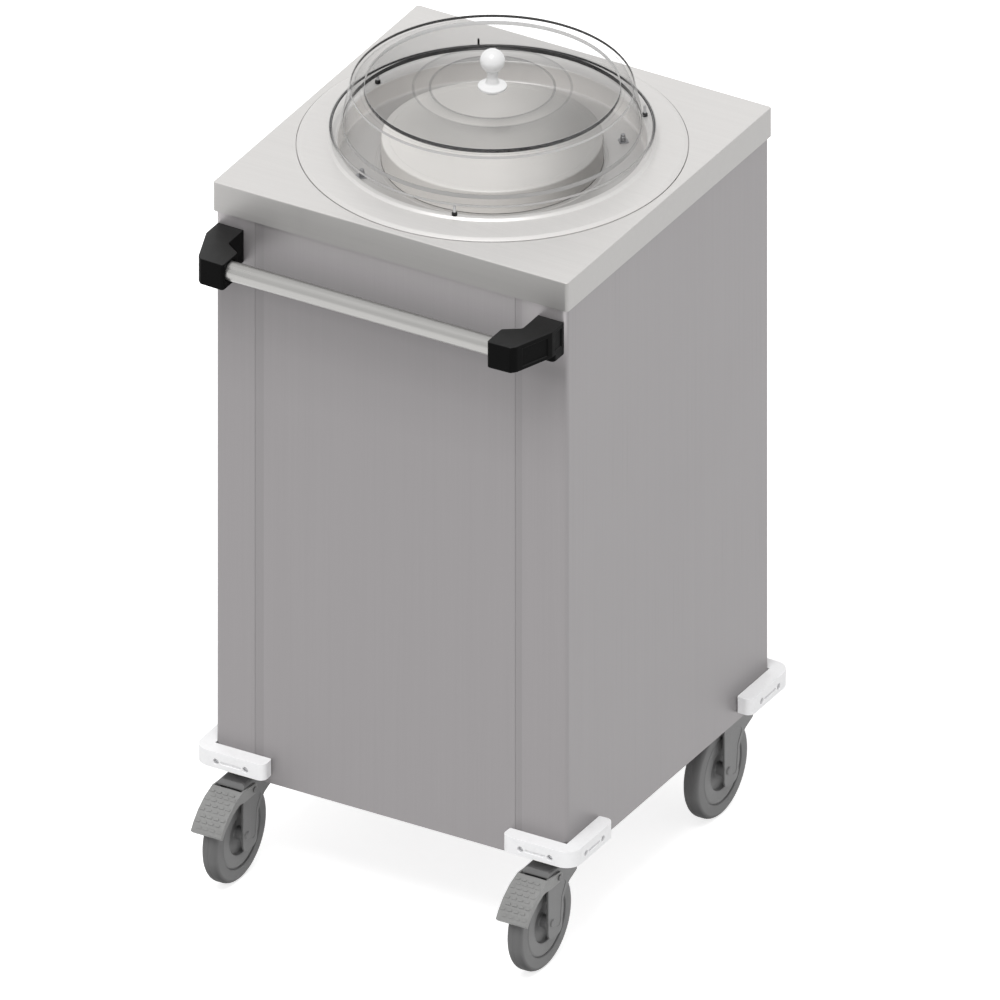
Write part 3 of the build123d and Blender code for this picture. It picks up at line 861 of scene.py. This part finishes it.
def add_seam_strips():
    """Shallow steps where the front and back panels pass behind the side panels."""
    low, high = (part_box("front_panel")[index].z / MM for index in (0, 1))
    face = BODY_HALF - SEAM_DEPTH
    behind = face - 0.8
    strips = Shell()
    seams = ((*LEFT_SEAM, -1), (*RIGHT_SEAM, -1), (*BACK_SEAM, 1), (-BACK_SEAM[1], -BACK_SEAM[0], 1))
    for start, end, side in seams:
        plan = [(start, face * side), (end, face * side), (end, behind * side), (start, behind * side)]
        strips.prism(plan, low + 0.5, high - 0.5)
    dress(shaped("seam_strips", strips), "root", "seam")


def screw_head(radius, height, steps=24):
    """Domed head, standing on z = 0."""
    outline = rounded([(0, 0), (radius, 0), (radius, height, radius * 0.45), (0, height)], 5)
    return Shell().lathe(outline, steps)


def facing_out(shell, direction):
    """Shell drawn on +Z, laid down to face along -Y, +Y, -X or +X."""
    turns = {"-Y": lambda p: (p.x, -p.z, p.y), "+Y": lambda p: (-p.x, p.z, p.y),
             "+X": lambda p: (p.z, p.x, p.y), "-X": lambda p: (-p.z, -p.x, p.y)}
    shell.points = [Vector(turns[direction](point)) for point in shell.points]
    return shell


def add_panel_screws():
    """Small round-headed screws down the two seams of the back panel."""
    heads = Shell()
    for x in BACK_SCREW_SIDES:
        for z in BACK_SCREW_HEIGHTS:
            head = facing_out(screw_head(3.6, 1.8), "+Y")
            heads.join(head.moved(x, BODY_HALF, z))
    dress(shaped("back_panel_screws", heads), "root", "fastener", crease=50.0)


# Dispenser top

def flange_outline():
    """Section of the drop-in flange: rim, slope, collar, well with its lip, and neck."""
    top = TOP_HIGH.z / MM
    rim = FLANGE_HIGH.x / MM
    foot = FLANGE_LOW.z / MM
    well = WELL_FLOOR
    wall = WELL_RADIUS + 2
    lip = PLATE_HIGH.x / MM + 0.3
    neck = NECK_RADIUS + 0.1
    return rounded([
        (rim, top - 3), (rim, top + 1, 0.6), (rim - 5, top + 3.4, 5), (COLLAR_RADIUS + 7, top + 5.6, 2),
        (COLLAR_RADIUS + 4, top + 8.5, 2), (WELL_RADIUS, top + 8.5, 2.5), (WELL_RADIUS, well, 4),
        (NECK_RADIUS + 3, well, 1), (NECK_RADIUS + 2, well + 0.6, 0.3), (lip, well + 0.6, 0.2),
        (lip, well + 0.1), (neck, well + 0.1), (neck, foot), (NECK_RADIUS + 2, foot),
        (NECK_RADIUS + 2, well - 2, 1), (wall, well - 2, 5), (wall, top + 2, 1),
        (rim - 2, top + 0.5, 1), (rim - 2, top - 3)])


def add_flange():
    """Flange, its three dome pins and the two catches in the well."""
    ring = Shell().lathe(flange_outline(), 240)
    dress(shaped("flange_ring", ring), "root", "flange", ["dispenser_flange"])
    low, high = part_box("dome_studs")
    foot, tip = low.z / MM, high.z / MM
    pins = Shell()
    posts = Shell()
    button = rounded([(0, foot), (3.4, foot), (3.4, foot + 4.5, 2), (0, foot + 4.5)], 5)
    post = rounded([(0, foot + 4), (1.8, foot + 4), (1.8, tip, 0.8), (0, tip)], 4)
    for angle in STUD_ANGLES:
        pins.join(Shell().lathe(button, 28).moved(STUD_CIRCLE).turned(angle))
        posts.join(Shell().lathe(post, 20).moved(STUD_CIRCLE).turned(angle))
    dress(shaped("dome_pins", pins), "root", "stud", ["dome_studs"])
    dress(shaped("dome_pin_posts", posts), "root", "edge_pale")
    low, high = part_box("tube_catches")
    foot, tip = low.z / MM, high.z / MM - 4
    catches = Shell()
    plate = rounded([(-5, -6, 2), (6, -6, 2), (6, 6, 2), (-5, 6, 2)])
    pin = rounded([
        (0, foot), (3.2, foot), (3.2, tip - 3, 1), (2.4, tip - 3, 0.5), (3.2, tip, 1), (0, tip)], 3)
    for angle in CATCH_ANGLES:
        catch = Shell().prism(plate, foot, foot + 1.2).join(Shell().lathe(pin, 24))
        catches.join(catch.moved(CATCH_CIRCLE).turned(angle))
    dress(shaped("well_catches", catches), "root", "catch", ["tube_catches"], edge=0.0003)


def add_platform():
    """Cream platform with a rolled rim and a shallow pressed ring."""
    top = PLATE_HIGH.z / MM
    low = PLATE_LOW.z / MM
    edge = PLATE_HIGH.x / MM
    outline = rounded([
        (0, top - 2), (edge - 2, top - 2, 1), (edge - 2, low), (edge, low), (edge, top, 2.4),
        (edge - 9, top, 2), (edge - 10.5, top - 0.6, 2), (0, top - 0.6)])
    disc = shaped("plate_platform", Shell().lathe(outline, 200))
    dress(disc, "lift", "platform", ["platform"], crease=50.0)


def spring_path(low, high, turns, steps=12):
    """Centre line of a close-wound spring with a straight tail at each end."""
    radius = SPRING_RADIUS - bpy.context.scene.cart_sizes.spring_wire / MM / 2
    path = [Vector((0, 0, low)), Vector((0, 0, low + 5))]
    coil_low, coil_high = low + 9, high - 9
    for step in range(turns * steps + 1):
        turn = math.tau * step / steps
        height = coil_low + (coil_high - coil_low) * step / (turns * steps)
        path.append(Vector((radius * math.cos(turn), radius * math.sin(turn), height)))
    return path + [Vector((0, 0, high - 5)), Vector((0, 0, high))]


def add_lift():
    """Steel of the chute and carrier, and the wound springs of the lift."""
    for node in ["chute_tube", "lower_ring", "platform_carrier"]:
        finish_node(node, "chute")
    for number in (1, 2, 3):
        finish_node(f"guide_rod_{number}", "fastener")
    finish_node("carrier_bushes", "bush")
    low, high = SPRING_LOW.z / MM, SPRING_HIGH.z / MM
    wire = bpy.context.scene.cart_sizes.spring_wire / MM / 2
    springs = Shell()
    for angle in ARM_ANGLES:
        for offset in (-SPRING_OFFSET, SPRING_OFFSET):
            coil = Shell().tube(spring_path(low, high, SPRING_TURNS), wire, 5)
            springs.join(coil.moved(ROD_CIRCLE, offset).turned(angle))
    piece = shaped("lift_springs", springs)
    dress(piece, None, "spring", ["tension_springs"], crease=60.0)
    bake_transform(piece)


# Dome

def dome_outline():
    """Section of the clear cover: flat brim, steep wall, raised ring and flat top with two lines."""
    rim = DOME_HIGH.x / MM
    low = DOME_LOW.z / MM
    top = DOME_HIGH.z / MM - 3
    corners = [
        (rim, low, 0.8), (rim, low + 3, 1), (DOME_FOOT, low + 5.5, 3), (170.3, top - 4, 2.5),
        (168.8, top + 3, 1.5), (DISC_RADIUS + 1.2, top + 3, 1.5), (DISC_RADIUS, top, 0.5)]
    for radius, _ in reversed(DOME_LINES):
        corners += [(radius + 1, top), (radius, top - 0.9), (radius - 1, top)]
    corners += [(3.2, top), (3.2, top - 3), (155.5, top - 3, 2), (158.5, top - 0.5, 1.5),
                (164, top - 0.5, 2.5), (167.2, top - 7, 4), (DOME_FOOT - 3.5, low + 2.2, 1),
                (rim - 7, low)]
    return rounded(corners, 6)


def band(radius, low, high, thick=0.2):
    """Thin upright ring inside the clear plastic, which carries painted light and shade along its edge."""
    outside = radius + thick
    return Shell().lathe([(radius, low), (outside, low), (outside, high), (radius, high)], 256)


def add_dome_edges():
    """Edges of the clear cover: painted shade where light is trapped, and a painted highlight on the side
    that faces it.
    """
    low = DOME_LOW.z / MM
    top = DOME_HIGH.z / MM - 3
    painted_edge_bands = {
        "outer": (168.0, 168.25, top - 1.5, top + 1.9),
        "inner": (151.9, 151.65, top - 2.2, top + 2.9),
        "foot": (176.9, 177.15, low + 4.0, low + 9.5),
        "brim": (190.5, 190.75, low + 0.2, low + 3.2)}
    for word, (dark, pale, bottom, rise) in painted_edge_bands.items():
        for tone, radius in (("dark", dark), (f"pale_{word}", pale)):
            ring = shaped(f"dome_{word}_edge_{tone[:4]}", band(radius, bottom, rise))
            dress(ring, "cover", f"edge_{tone}", crease=60.0)
    # Thin ring in the brim that carries its painted shade
    rim = DOME_HIGH.x / MM - 0.8
    inner = rim - 3.4
    section = [(inner, low + 1.2), (rim, low + 1.2), (rim, low + 1.4), (inner, low + 1.4)]
    line = Shell().lathe(section, 256)
    dress(shaped("dome_brim_line", line), "cover", "painted_brim_shade", crease=60.0)


def add_dome():
    """Clear cover, white knob and its screw."""
    cover = Shell().lathe(dome_outline(), 256)
    dress(shaped("clear_dome", cover), "cover", "clear", ["dome_cover"], crease=80.0)
    add_dome_edges()
    plan = rounded([(187, -1.2), (190.6, -1.2, 0.8), (190.6, 1.2, 0.8), (187, 1.2)], 3)
    lug = Shell().prism(plan, LUG_LOW, LUG_HIGH)
    dress(shaped("dome_rim_lug", lug.turned(125)), "cover", "stud")
    foot = KNOB_LOW.z / MM
    tip = KNOB_HIGH.z / MM
    centre = tip - KNOB_RADIUS
    stem = [(0, foot), (17.5, foot, 0.5), (17.5, foot + 3, 1.2), (8, foot + 6, 3), (6.5, foot + 14, 4)]
    ball = []
    for step in range(25):
        angle = math.radians(-62 + (90 + 62) * step / 24)
        ball.append((max(0.0, KNOB_RADIUS * math.cos(angle)), centre + KNOB_RADIUS * math.sin(angle)))
    grip = Shell().lathe(rounded(stem + ball), 72)
    knob = shaped("dome_knob", grip)
    dress(knob, "cover", "knob", ["knob"], crease=60.0)
    knob.visible_shadow = False
    finish_node("knob_screw", "knob")


# Handle

def bracket_outline():
    """Plan of the right bracket: foot on the cabinet, angled arm and nose that takes the bar."""
    return rounded([
        (236.6, -240), (236.6, -268, 6), (217.6, -319, 8), (212, -325, 5), (180, -326, 4),
        (180, -291, 4), (201, -277, 6), (201, -240)], 5)


def bar_centre():
    """Middle of the push bar, in millimetres."""
    return 0, (BAR_LOW.y + BAR_HIGH.y) / 2 / MM, (BAR_LOW.z + BAR_HIGH.z) / 2 / MM


def bracket_cuts():
    """Sunk panel in the outer side of the arm, and the seat of the bar."""
    low, high = BRACKET_PANEL
    start, end = Vector((236.6, -268)), Vector((217.6, -319))
    along = (end - start).normalized()
    out = Vector((along.y, -along.x)) * -1
    near, far = start + along * 7, end - along * 9
    plan = [near + out * 3, far + out * 3, far - out * 1.4, near - out * 1.4]
    panel = Shell().prism([(point.x, point.y) for point in plan], low, high)
    side = [(-246, low), (-262, low), (-262, high), (-246, high)]
    face = Shell().prism(side, 235.2, 240, axis="X")
    hole = BAR_RADIUS + 0.6
    section = [(0, 179), (hole, 179), (hole, 183), (0, 183)]
    seat = Shell().lathe(section, 40, axis="X", centre=bar_centre())
    return [panel, face, seat]


def add_handle():
    """Push bar, and the two black brackets with their stepped feet."""
    sizes = bpy.context.scene.cart_sizes
    end = BAR_HIGH.x / MM
    section = [(8.5, -end), (BAR_RADIUS, -end), (BAR_RADIUS, end), (8.5, end)]
    bar = Shell().lathe(section, 72, axis="X", centre=bar_centre())
    dress(shaped("push_bar", bar), "root", "bar", ["handle_tube"])
    for side, word in ((1, "right"), (-1, "left")):
        low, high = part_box(f"handle_bracket_{word}")
        arm = Shell().prism(bracket_outline(), BRACKET_LOW, high.z / MM)
        foot = rounded([(201, -240), (201, -264, 2), (236.6, -264, 5), (236.6, -240)])
        cuts = [cut.mirrored(side) for cut in bracket_cuts()]
        bracket = shaped(f"handle_arm_{word}", arm.mirrored(side), cuts)
        dress(bracket, "root", "bracket", [f"handle_bracket_{word}"],
              edge=0.0004, chamfer=sizes.bracket_chamfer)
        base = Shell().prism(foot, low.z / MM, BRACKET_FOOT_TOP).mirrored(side)
        dress(shaped(f"handle_foot_{word}", base), "root", "bracket",
              edge=sizes.moulded_round)
    finish_node("handle_screws", "fastener")


# Bumpers

def bumper_arm_cuts():
    """Groove and screw pockets in the arm that runs along X."""
    low, high = BUMPER_SCREWS
    z = BUMPER_GROOVE
    start, end = low + 6, high - 6
    slot = rounded([(start, z - 2, 1.9), (end, z - 2, 1.9), (end, z + 2, 1.9), (start, z + 2, 1.9)])
    cuts = [Shell().prism(slot, BUMPER_OUT - 2.5, BUMPER_OUT + 2, axis="Y")]
    for x in BUMPER_SCREWS:
        cuts.append(Shell().prism(circle(3.9, x, z, 24), BUMPER_OUT - 5, BUMPER_OUT + 2, axis="Y"))
    return cuts


def add_bumpers():
    """White corner bumpers with rounded arms, and the screws in them."""
    sizes = bpy.context.scene.cart_sizes
    inner = BODY_HALF + 0.1
    plan = rounded([
        (inner, BUMPER_END + 1, 2), (BUMPER_OUT, BUMPER_END, 9), (BUMPER_OUT, BUMPER_OUT, 20),
        (BUMPER_END, BUMPER_OUT, 9), (BUMPER_END + 1, inner, 2), (inner, inner)], 8)
    screws = Shell()
    for corner in CORNERS:
        x_side = 1 if "right" in corner else -1
        y_side = 1 if "rear" in corner else -1
        cuts = bumper_arm_cuts() + [cut.swapped() for cut in bumper_arm_cuts()]
        cuts = [cut.mirrored(x_side, y_side) for cut in cuts]
        block = Shell().prism(plan, BUMPER_LOW, BUMPER_HIGH).mirrored(x_side, y_side)
        piece = shaped(f"corner_bumper_{corner}", block, cuts)
        dress(piece, "root", "bumper", [f"bumper_{corner}"],
              edge=2 * sizes.moulded_round)
        for x in BUMPER_SCREWS:
            for swap in (False, True):
                head = facing_out(screw_head(3.4, 1.6, 20), "+Y")
                head.moved(x, BUMPER_OUT - 5, BUMPER_GROOVE)
                head = head.swapped() if swap else head
                screws.join(head.mirrored(x_side, y_side))
    heads = shaped("bumper_screw_heads", screws)
    dress(heads, "root", "fastener", ["bumper_screws"], crease=50.0)


# Casters, drawn about their swivel axis

def fork_shell():
    """Channel that is bent over the wheel, before it is cut to its side outline."""
    section = rounded([
        (-LEG_OUTER, 36), (-LEG_OUTER, CROWN_TOP, 5), (LEG_OUTER, CROWN_TOP, 5), (LEG_OUTER, 36),
        (LEG_INNER, 36), (LEG_INNER, CROWN_BOTTOM, 2.5), (-LEG_INNER, CROWN_BOTTOM, 2.5),
        (-LEG_INNER, 36)], 5)
    return Shell().prism(section, -60, 25, axis="Y")


def fork_side():
    """Side outline of the fork."""
    outline = rounded([
        (17, CROWN_TOP + 2), (-46, CROWN_TOP + 2, 3), (-51, 128, 4), (-51, 41, 11), (-19, 41, 11),
        (-15, 86, 20), (-2, 101, 12), (17, 108, 4)], 6)
    return Shell().prism(outline, -30, 30, axis="X")


def leg_recesses():
    """Shallow pressed panel in the outer face of each leg."""
    outline = rounded([(-34, 52, 5), (-22.5, 52, 5), (-19, 88, 12), (-8, 106, 5), (-34, 117, 6)], 5)
    deep, shallow = LEG_OUTER - 0.5, LEG_OUTER + 1
    return [Shell().prism(outline, low, high, axis="X")
            for low, high in ((-shallow, -deep), (deep, shallow))]


def axle_shell():
    """Axle with a low domed head on each side."""
    head = LEG_OUTER + 1.6
    outline = rounded([
        (0, -head), (AXLE_HEAD - 1, -head, 1.2), (AXLE_HEAD, -LEG_OUTER), (4, -LEG_OUTER),
        (4, LEG_OUTER), (AXLE_HEAD, LEG_OUTER), (AXLE_HEAD - 1, head, 1.2), (0, head)], 4)
    return Shell().lathe(outline, 40, axis="X", centre=(0, -TRAIL, WHEEL_RADIUS))


def core_outline():
    """Section of the wheel centre as (radius, x): dished round the hub on both sides."""
    rim = TYRE_HALF - 1
    half = [(4.1, HUB_HALF), (9, HUB_HALF, 1.5), (8.2, WEB_HALF, 1.5), (HUB_RECESS - 1, WEB_HALF, 2.5),
            (HUB_RECESS, rim, 1.5), (41.5, rim, 1), (TYRE_INNER, rim - 1.2)]
    other = [(radius, -x, *rest) for radius, x, *rest in reversed(half)]
    return rounded(half + other, 4)


def tyre_outline():
    """Section of the tyre as (radius, x): rounded shoulders and a fine parting groove."""
    half = TYRE_HALF
    inner = half - 2.2
    return rounded([
        (TYRE_INNER, inner), (TYRE_INNER + 1.2, half - 0.2, 1), (WHEEL_RADIUS, half, 7),
        (WHEEL_RADIUS, 0.7, 0.2), (WHEEL_RADIUS - 0.4, 0, 0.2), (WHEEL_RADIUS, -0.7, 0.2),
        (WHEEL_RADIUS, -half, 7), (TYRE_INNER + 1.2, 0.2 - half, 1), (TYRE_INNER, -inner)], 7)


def pedal_side():
    """Side outline of the brake pedal, skirts included."""
    return rounded([
        (-22, 126, 6), (-57, 129, 10), (-76, 122.3, 25), (-92, 111.7, 25), (-103.2, 100, 20),
        (-109, 91.5, 1), (-105, 86.5, 1), (-96, 97.5, 15), (-80, 109, 20), (-64, 115.5, 20),
        (-50, 113, 15), (-22, 113, 6)], 6)


def pedal_hollow():
    """Room under the tread of the pedal, between its skirts."""
    return rounded([
        (0, 140), (-57, 140), (-57, 126.6), (-75.1, 120, 22), (-90.3, 109.9, 22), (-101.2, 98.4, 18),
        (-105.1, 92.6), (-98, 80), (0, 80)], 6)


def pedal_ribs():
    """Rows of small blocks on the tread of the pedal, every second row set over by half a step."""
    ribs = Shell()
    spots = ((-66, 126.2, 19), (-72, 123.8, 22), (-78, 121.0, 27), (-84, 117.3, 32), (-90, 113.2, 37),
             (-96, 108.0, 43), (-101, 102.7, 50), (-105.4, 96.6, 56))
    for number, (y, z, slope) in enumerate(spots):
        turn = math.radians(slope)
        corners = []
        for across, up, radius in ((-1.9, -1.6, 0), (1.9, -1.6, 0), (1.4, 0.9, 0.6), (-1.4, 0.9, 0.6)):
            spot_y = y + across * math.cos(turn) - up * math.sin(turn)
            spot_z = z + across * math.sin(turn) + up * math.cos(turn)
            corners.append((spot_y, spot_z, radius))
        outline = rounded(corners, 3)
        start = -PEDAL_HALF + 2.0 + (number % 2) * 4.5
        while start < PEDAL_HALF - 4.0:
            ribs.prism(outline, start, min(start + 6.0, PEDAL_HALF - 2.0), axis="X")
            start += 9.0
    return ribs


def add_pedal(corner, x, y):
    """Brake pedal of a front caster: bent channel with grip ribs."""
    channel = Shell().prism(pedal_side(), -PEDAL_HALF, PEDAL_HALF, axis="X").moved(x, y)
    hollow = Shell().prism(pedal_hollow(), -PEDAL_INNER, PEDAL_INNER, axis="X").moved(x, y)
    piece = shaped(f"pedal_channel_{corner}", channel, [hollow])
    dress(piece, f"pedal_{corner}", "pedal", [f"brake_pedal_{corner}"], edge=0.0008)
    grips = pedal_ribs().moved(x, y)
    dress(shaped(f"pedal_ribs_{corner}", grips), f"pedal_{corner}", "pedal")
    finish_node(f"brake_pin_{corner}", "caster")


def add_caster(corner):
    """One swivel caster: fork, axle, wheel centre and tyre."""
    sizes = bpy.context.scene.cart_sizes
    x, y = pivot_of(corner)
    recesses = [recess.moved(x, y) for recess in leg_recesses()]
    side = fork_side().moved(x, y)
    fork = shaped(f"caster_fork_{corner}", fork_shell().moved(x, y), recesses, keep=side)
    dress(fork, f"swivel_{corner}", "caster", [f"fork_{corner}"],
          edge=sizes.pressed_round)
    waist = NECK_OUTER - 2
    neck = rounded([
        (8.1, CROWN_TOP - 1), (NECK_OUTER, CROWN_TOP - 1), (NECK_OUTER, CROWN_TOP + 3, 1),
        (waist, CROWN_TOP + 5, 1), (waist, NECK_TOP - 4, 1), (NECK_OUTER, NECK_TOP - 3, 1),
        (NECK_OUTER, NECK_TOP, 1), (8.1, NECK_TOP)], 3)
    ring = Shell().lathe(neck, 64).moved(x, y)
    dress(shaped(f"caster_neck_{corner}", ring), f"swivel_{corner}", "caster")
    bolt = shaped(f"caster_axle_{corner}", axle_shell().moved(x, y))
    dress(bolt, f"swivel_{corner}", "caster", [f"axle_{corner}"], edge=0.0003)
    hub = (x, y - TRAIL, WHEEL_RADIUS)
    core = Shell().lathe(core_outline(), 96, axis="X", centre=hub)
    centre = shaped(f"wheel_centre_{corner}", core)
    dress(centre, f"wheel_{corner}", "caster", [f"wheel_core_{corner}"])
    tread = shaped(f"wheel_tread_{corner}", Shell().lathe(tyre_outline(), 128, axis="X", centre=hub))
    dress(tread, f"wheel_{corner}", "caster", [f"tyre_{corner}"])
    tread.data.materials[0] = tread_rubber(f"tread_{corner}", bpy.context.scene.cart_colours.tyre,
                                           tuple(value * MM for value in hub))
    finish_node(f"swivel_head_{corner}", "caster")
    if corner in FRONT_CORNERS:
        add_pedal(corner, x, y)


# Studio

def add_floor():
    """Pale floor that reads white to the camera and keeps the cart's shadow."""
    reach = bpy.context.scene.cart_sizes.floor_reach / MM
    outline = [(-reach, -reach), (reach, -reach), (reach, reach), (-reach, reach)]
    floor = bare_object("studio_floor", Shell().prism(outline, -40, -0.2).mesh("studio_floor"))
    finish = Finish("studio_floor")
    diffuse = finish.node("ShaderNodeBsdfDiffuse", None, {"Color": (0.80, 0.80, 0.80)}, kind="SHADER")
    glow, none = (
        finish.node("ShaderNodeEmission", None, {"Color": colour, "Strength": strength}, kind="SHADER")
        for colour, strength in (((1, 1, 1), FLOOR_GLOW), ((0, 0, 0), 0.0)))
    shown = finish.seen_directly()
    extra = finish.node("ShaderNodeMixShader", None, {0: shown, 1: none, 2: glow}, kind="SHADER")
    total = finish.node("ShaderNodeAddShader", None, {0: diffuse, 1: extra}, kind="SHADER")
    floor.data.materials.append(finish.finished(total))


def add_world():
    """Even white surroundings, dimmer as a light than they look."""
    world = bpy.data.worlds.new("studio")
    bpy.context.scene.world = world
    finish = Finish("studio", world)
    light, white = (
        finish.node("ShaderNodeBackground", None, {"Color": (1, 1, 1), "Strength": value}, kind="SHADER")
        for value in (WORLD_LIGHT, 1.0))
    shown = finish.seen_directly()
    mix = finish.node("ShaderNodeMixShader", None, {0: shown, 1: light, 2: white}, kind="SHADER")
    finish.finished(mix, "ShaderNodeOutputWorld")


def add_sun():
    """Soft light from above."""
    lamp = bpy.data.lights.new("soft_sun", "SUN")
    lamp.energy = SUN_STRENGTH
    lamp.angle = math.radians(SUN_SOFTNESS)
    holder = bpy.data.objects.new("soft_sun", lamp)
    holder.rotation_mode = "QUATERNION"
    holder.rotation_quaternion = Vector(SUN_FROM).to_track_quat("Z", "Y")
    bpy.context.scene.collection.objects.link(holder)


def add_camera():
    """Parallel view from the right front and from above, as in the photo."""
    camera = bpy.data.cameras.new("photo_view")
    camera.type = "ORTHO"
    camera.ortho_scale = CAMERA_WIDTH
    holder = bpy.data.objects.new("photo_view", camera)
    turn, rise = math.radians(CAMERA_AZIMUTH), math.radians(CAMERA_ELEVATION)
    back = Vector((math.sin(turn) * math.cos(rise), -math.cos(turn) * math.cos(rise), math.sin(rise)))
    holder.location = Vector(CAMERA_AIM) + back * CAMERA_DISTANCE
    holder.rotation_mode = "QUATERNION"
    holder.rotation_quaternion = (-back).to_track_quat("-Z", "Y")
    bpy.context.scene.collection.objects.link(holder)
    bpy.context.scene.camera = holder


# Operators

class CART_OT_studio(bpy.types.Operator):
    """Floor, surroundings, light and camera"""

    bl_idname = "cart.studio"
    bl_label = "Studio"

    def execute(self, context):
        add_floor()
        add_world()
        add_sun()
        add_camera()
        context.scene.view_settings.view_transform = "Standard"
        return {"FINISHED"}


class CART_OT_cabinet(bpy.types.Operator):
    """Brushed sheets of the cabinet and the worktop"""

    bl_idname = "cart.cabinet"
    bl_label = "Cabinet"

    def execute(self, context):
        finish_cabinet()
        add_seam_strips()
        add_panel_screws()
        finish_node("caster_bolts", "fastener")
        return {"FINISHED"}


class CART_OT_flange(bpy.types.Operator):
    """Drop-in flange with its pins and catches"""

    bl_idname = "cart.flange"
    bl_label = "Flange"

    def execute(self, context):
        add_flange()
        return {"FINISHED"}


class CART_OT_lift(bpy.types.Operator):
    """Platform, chute, carrier and springs"""

    bl_idname = "cart.lift"
    bl_label = "Lift"

    def execute(self, context):
        add_platform()
        add_lift()
        return {"FINISHED"}


class CART_OT_dome(bpy.types.Operator):
    """Clear dome and its knob"""

    bl_idname = "cart.dome"
    bl_label = "Dome"

    def execute(self, context):
        add_dome()
        return {"FINISHED"}


class CART_OT_handle(bpy.types.Operator):
    """Push bar and brackets"""

    bl_idname = "cart.handle"
    bl_label = "Handle"

    def execute(self, context):
        add_handle()
        return {"FINISHED"}


class CART_OT_bumpers(bpy.types.Operator):
    """White corner bumpers"""

    bl_idname = "cart.bumpers"
    bl_label = "Bumpers"

    def execute(self, context):
        add_bumpers()
        return {"FINISHED"}


class CART_OT_casters(bpy.types.Operator):
    """Four swivel casters and two brake pedals"""

    bl_idname = "cart.casters"
    bl_label = "Casters"

    def execute(self, context):
        for corner in CORNERS:
            add_caster(corner)
        return {"FINISHED"}


STEPS = (CART_OT_studio, CART_OT_cabinet, CART_OT_flange, CART_OT_lift, CART_OT_dome,
         CART_OT_handle, CART_OT_bumpers, CART_OT_casters)


class CART_PT_panel(bpy.types.Panel):
    """Sidebar panel that lists the steps and the settings"""

    bl_idname = "CART_PT_panel"
    bl_label = "Plate dispenser cart"
    bl_space_type = "VIEW_3D"
    bl_region_type = "UI"
    bl_category = "Plate cart"

    def draw(self, context):
        for step in STEPS:
            self.layout.operator(step.bl_idname)
        for group in (context.scene.cart_sizes, context.scene.cart_colours):
            for name in group.__annotations__:
                self.layout.prop(group, name)


CLASSES = (CartSizes, CartColours) + STEPS + (CART_PT_panel,)


def register():
    for item in CLASSES:
        bpy.utils.register_class(item)
    bpy.types.Scene.cart_sizes = bpy.props.PointerProperty(type=CartSizes)
    bpy.types.Scene.cart_colours = bpy.props.PointerProperty(type=CartColours)


def unregister():
    del bpy.types.Scene.cart_colours
    del bpy.types.Scene.cart_sizes
    for item in reversed(CLASSES):
        bpy.utils.unregister_class(item)


def main():
    register()
    for step in STEPS:
        group, name = step.bl_idname.split(".")
        getattr(getattr(bpy.ops, group), name)()


if __name__ == "__main__":
    main()
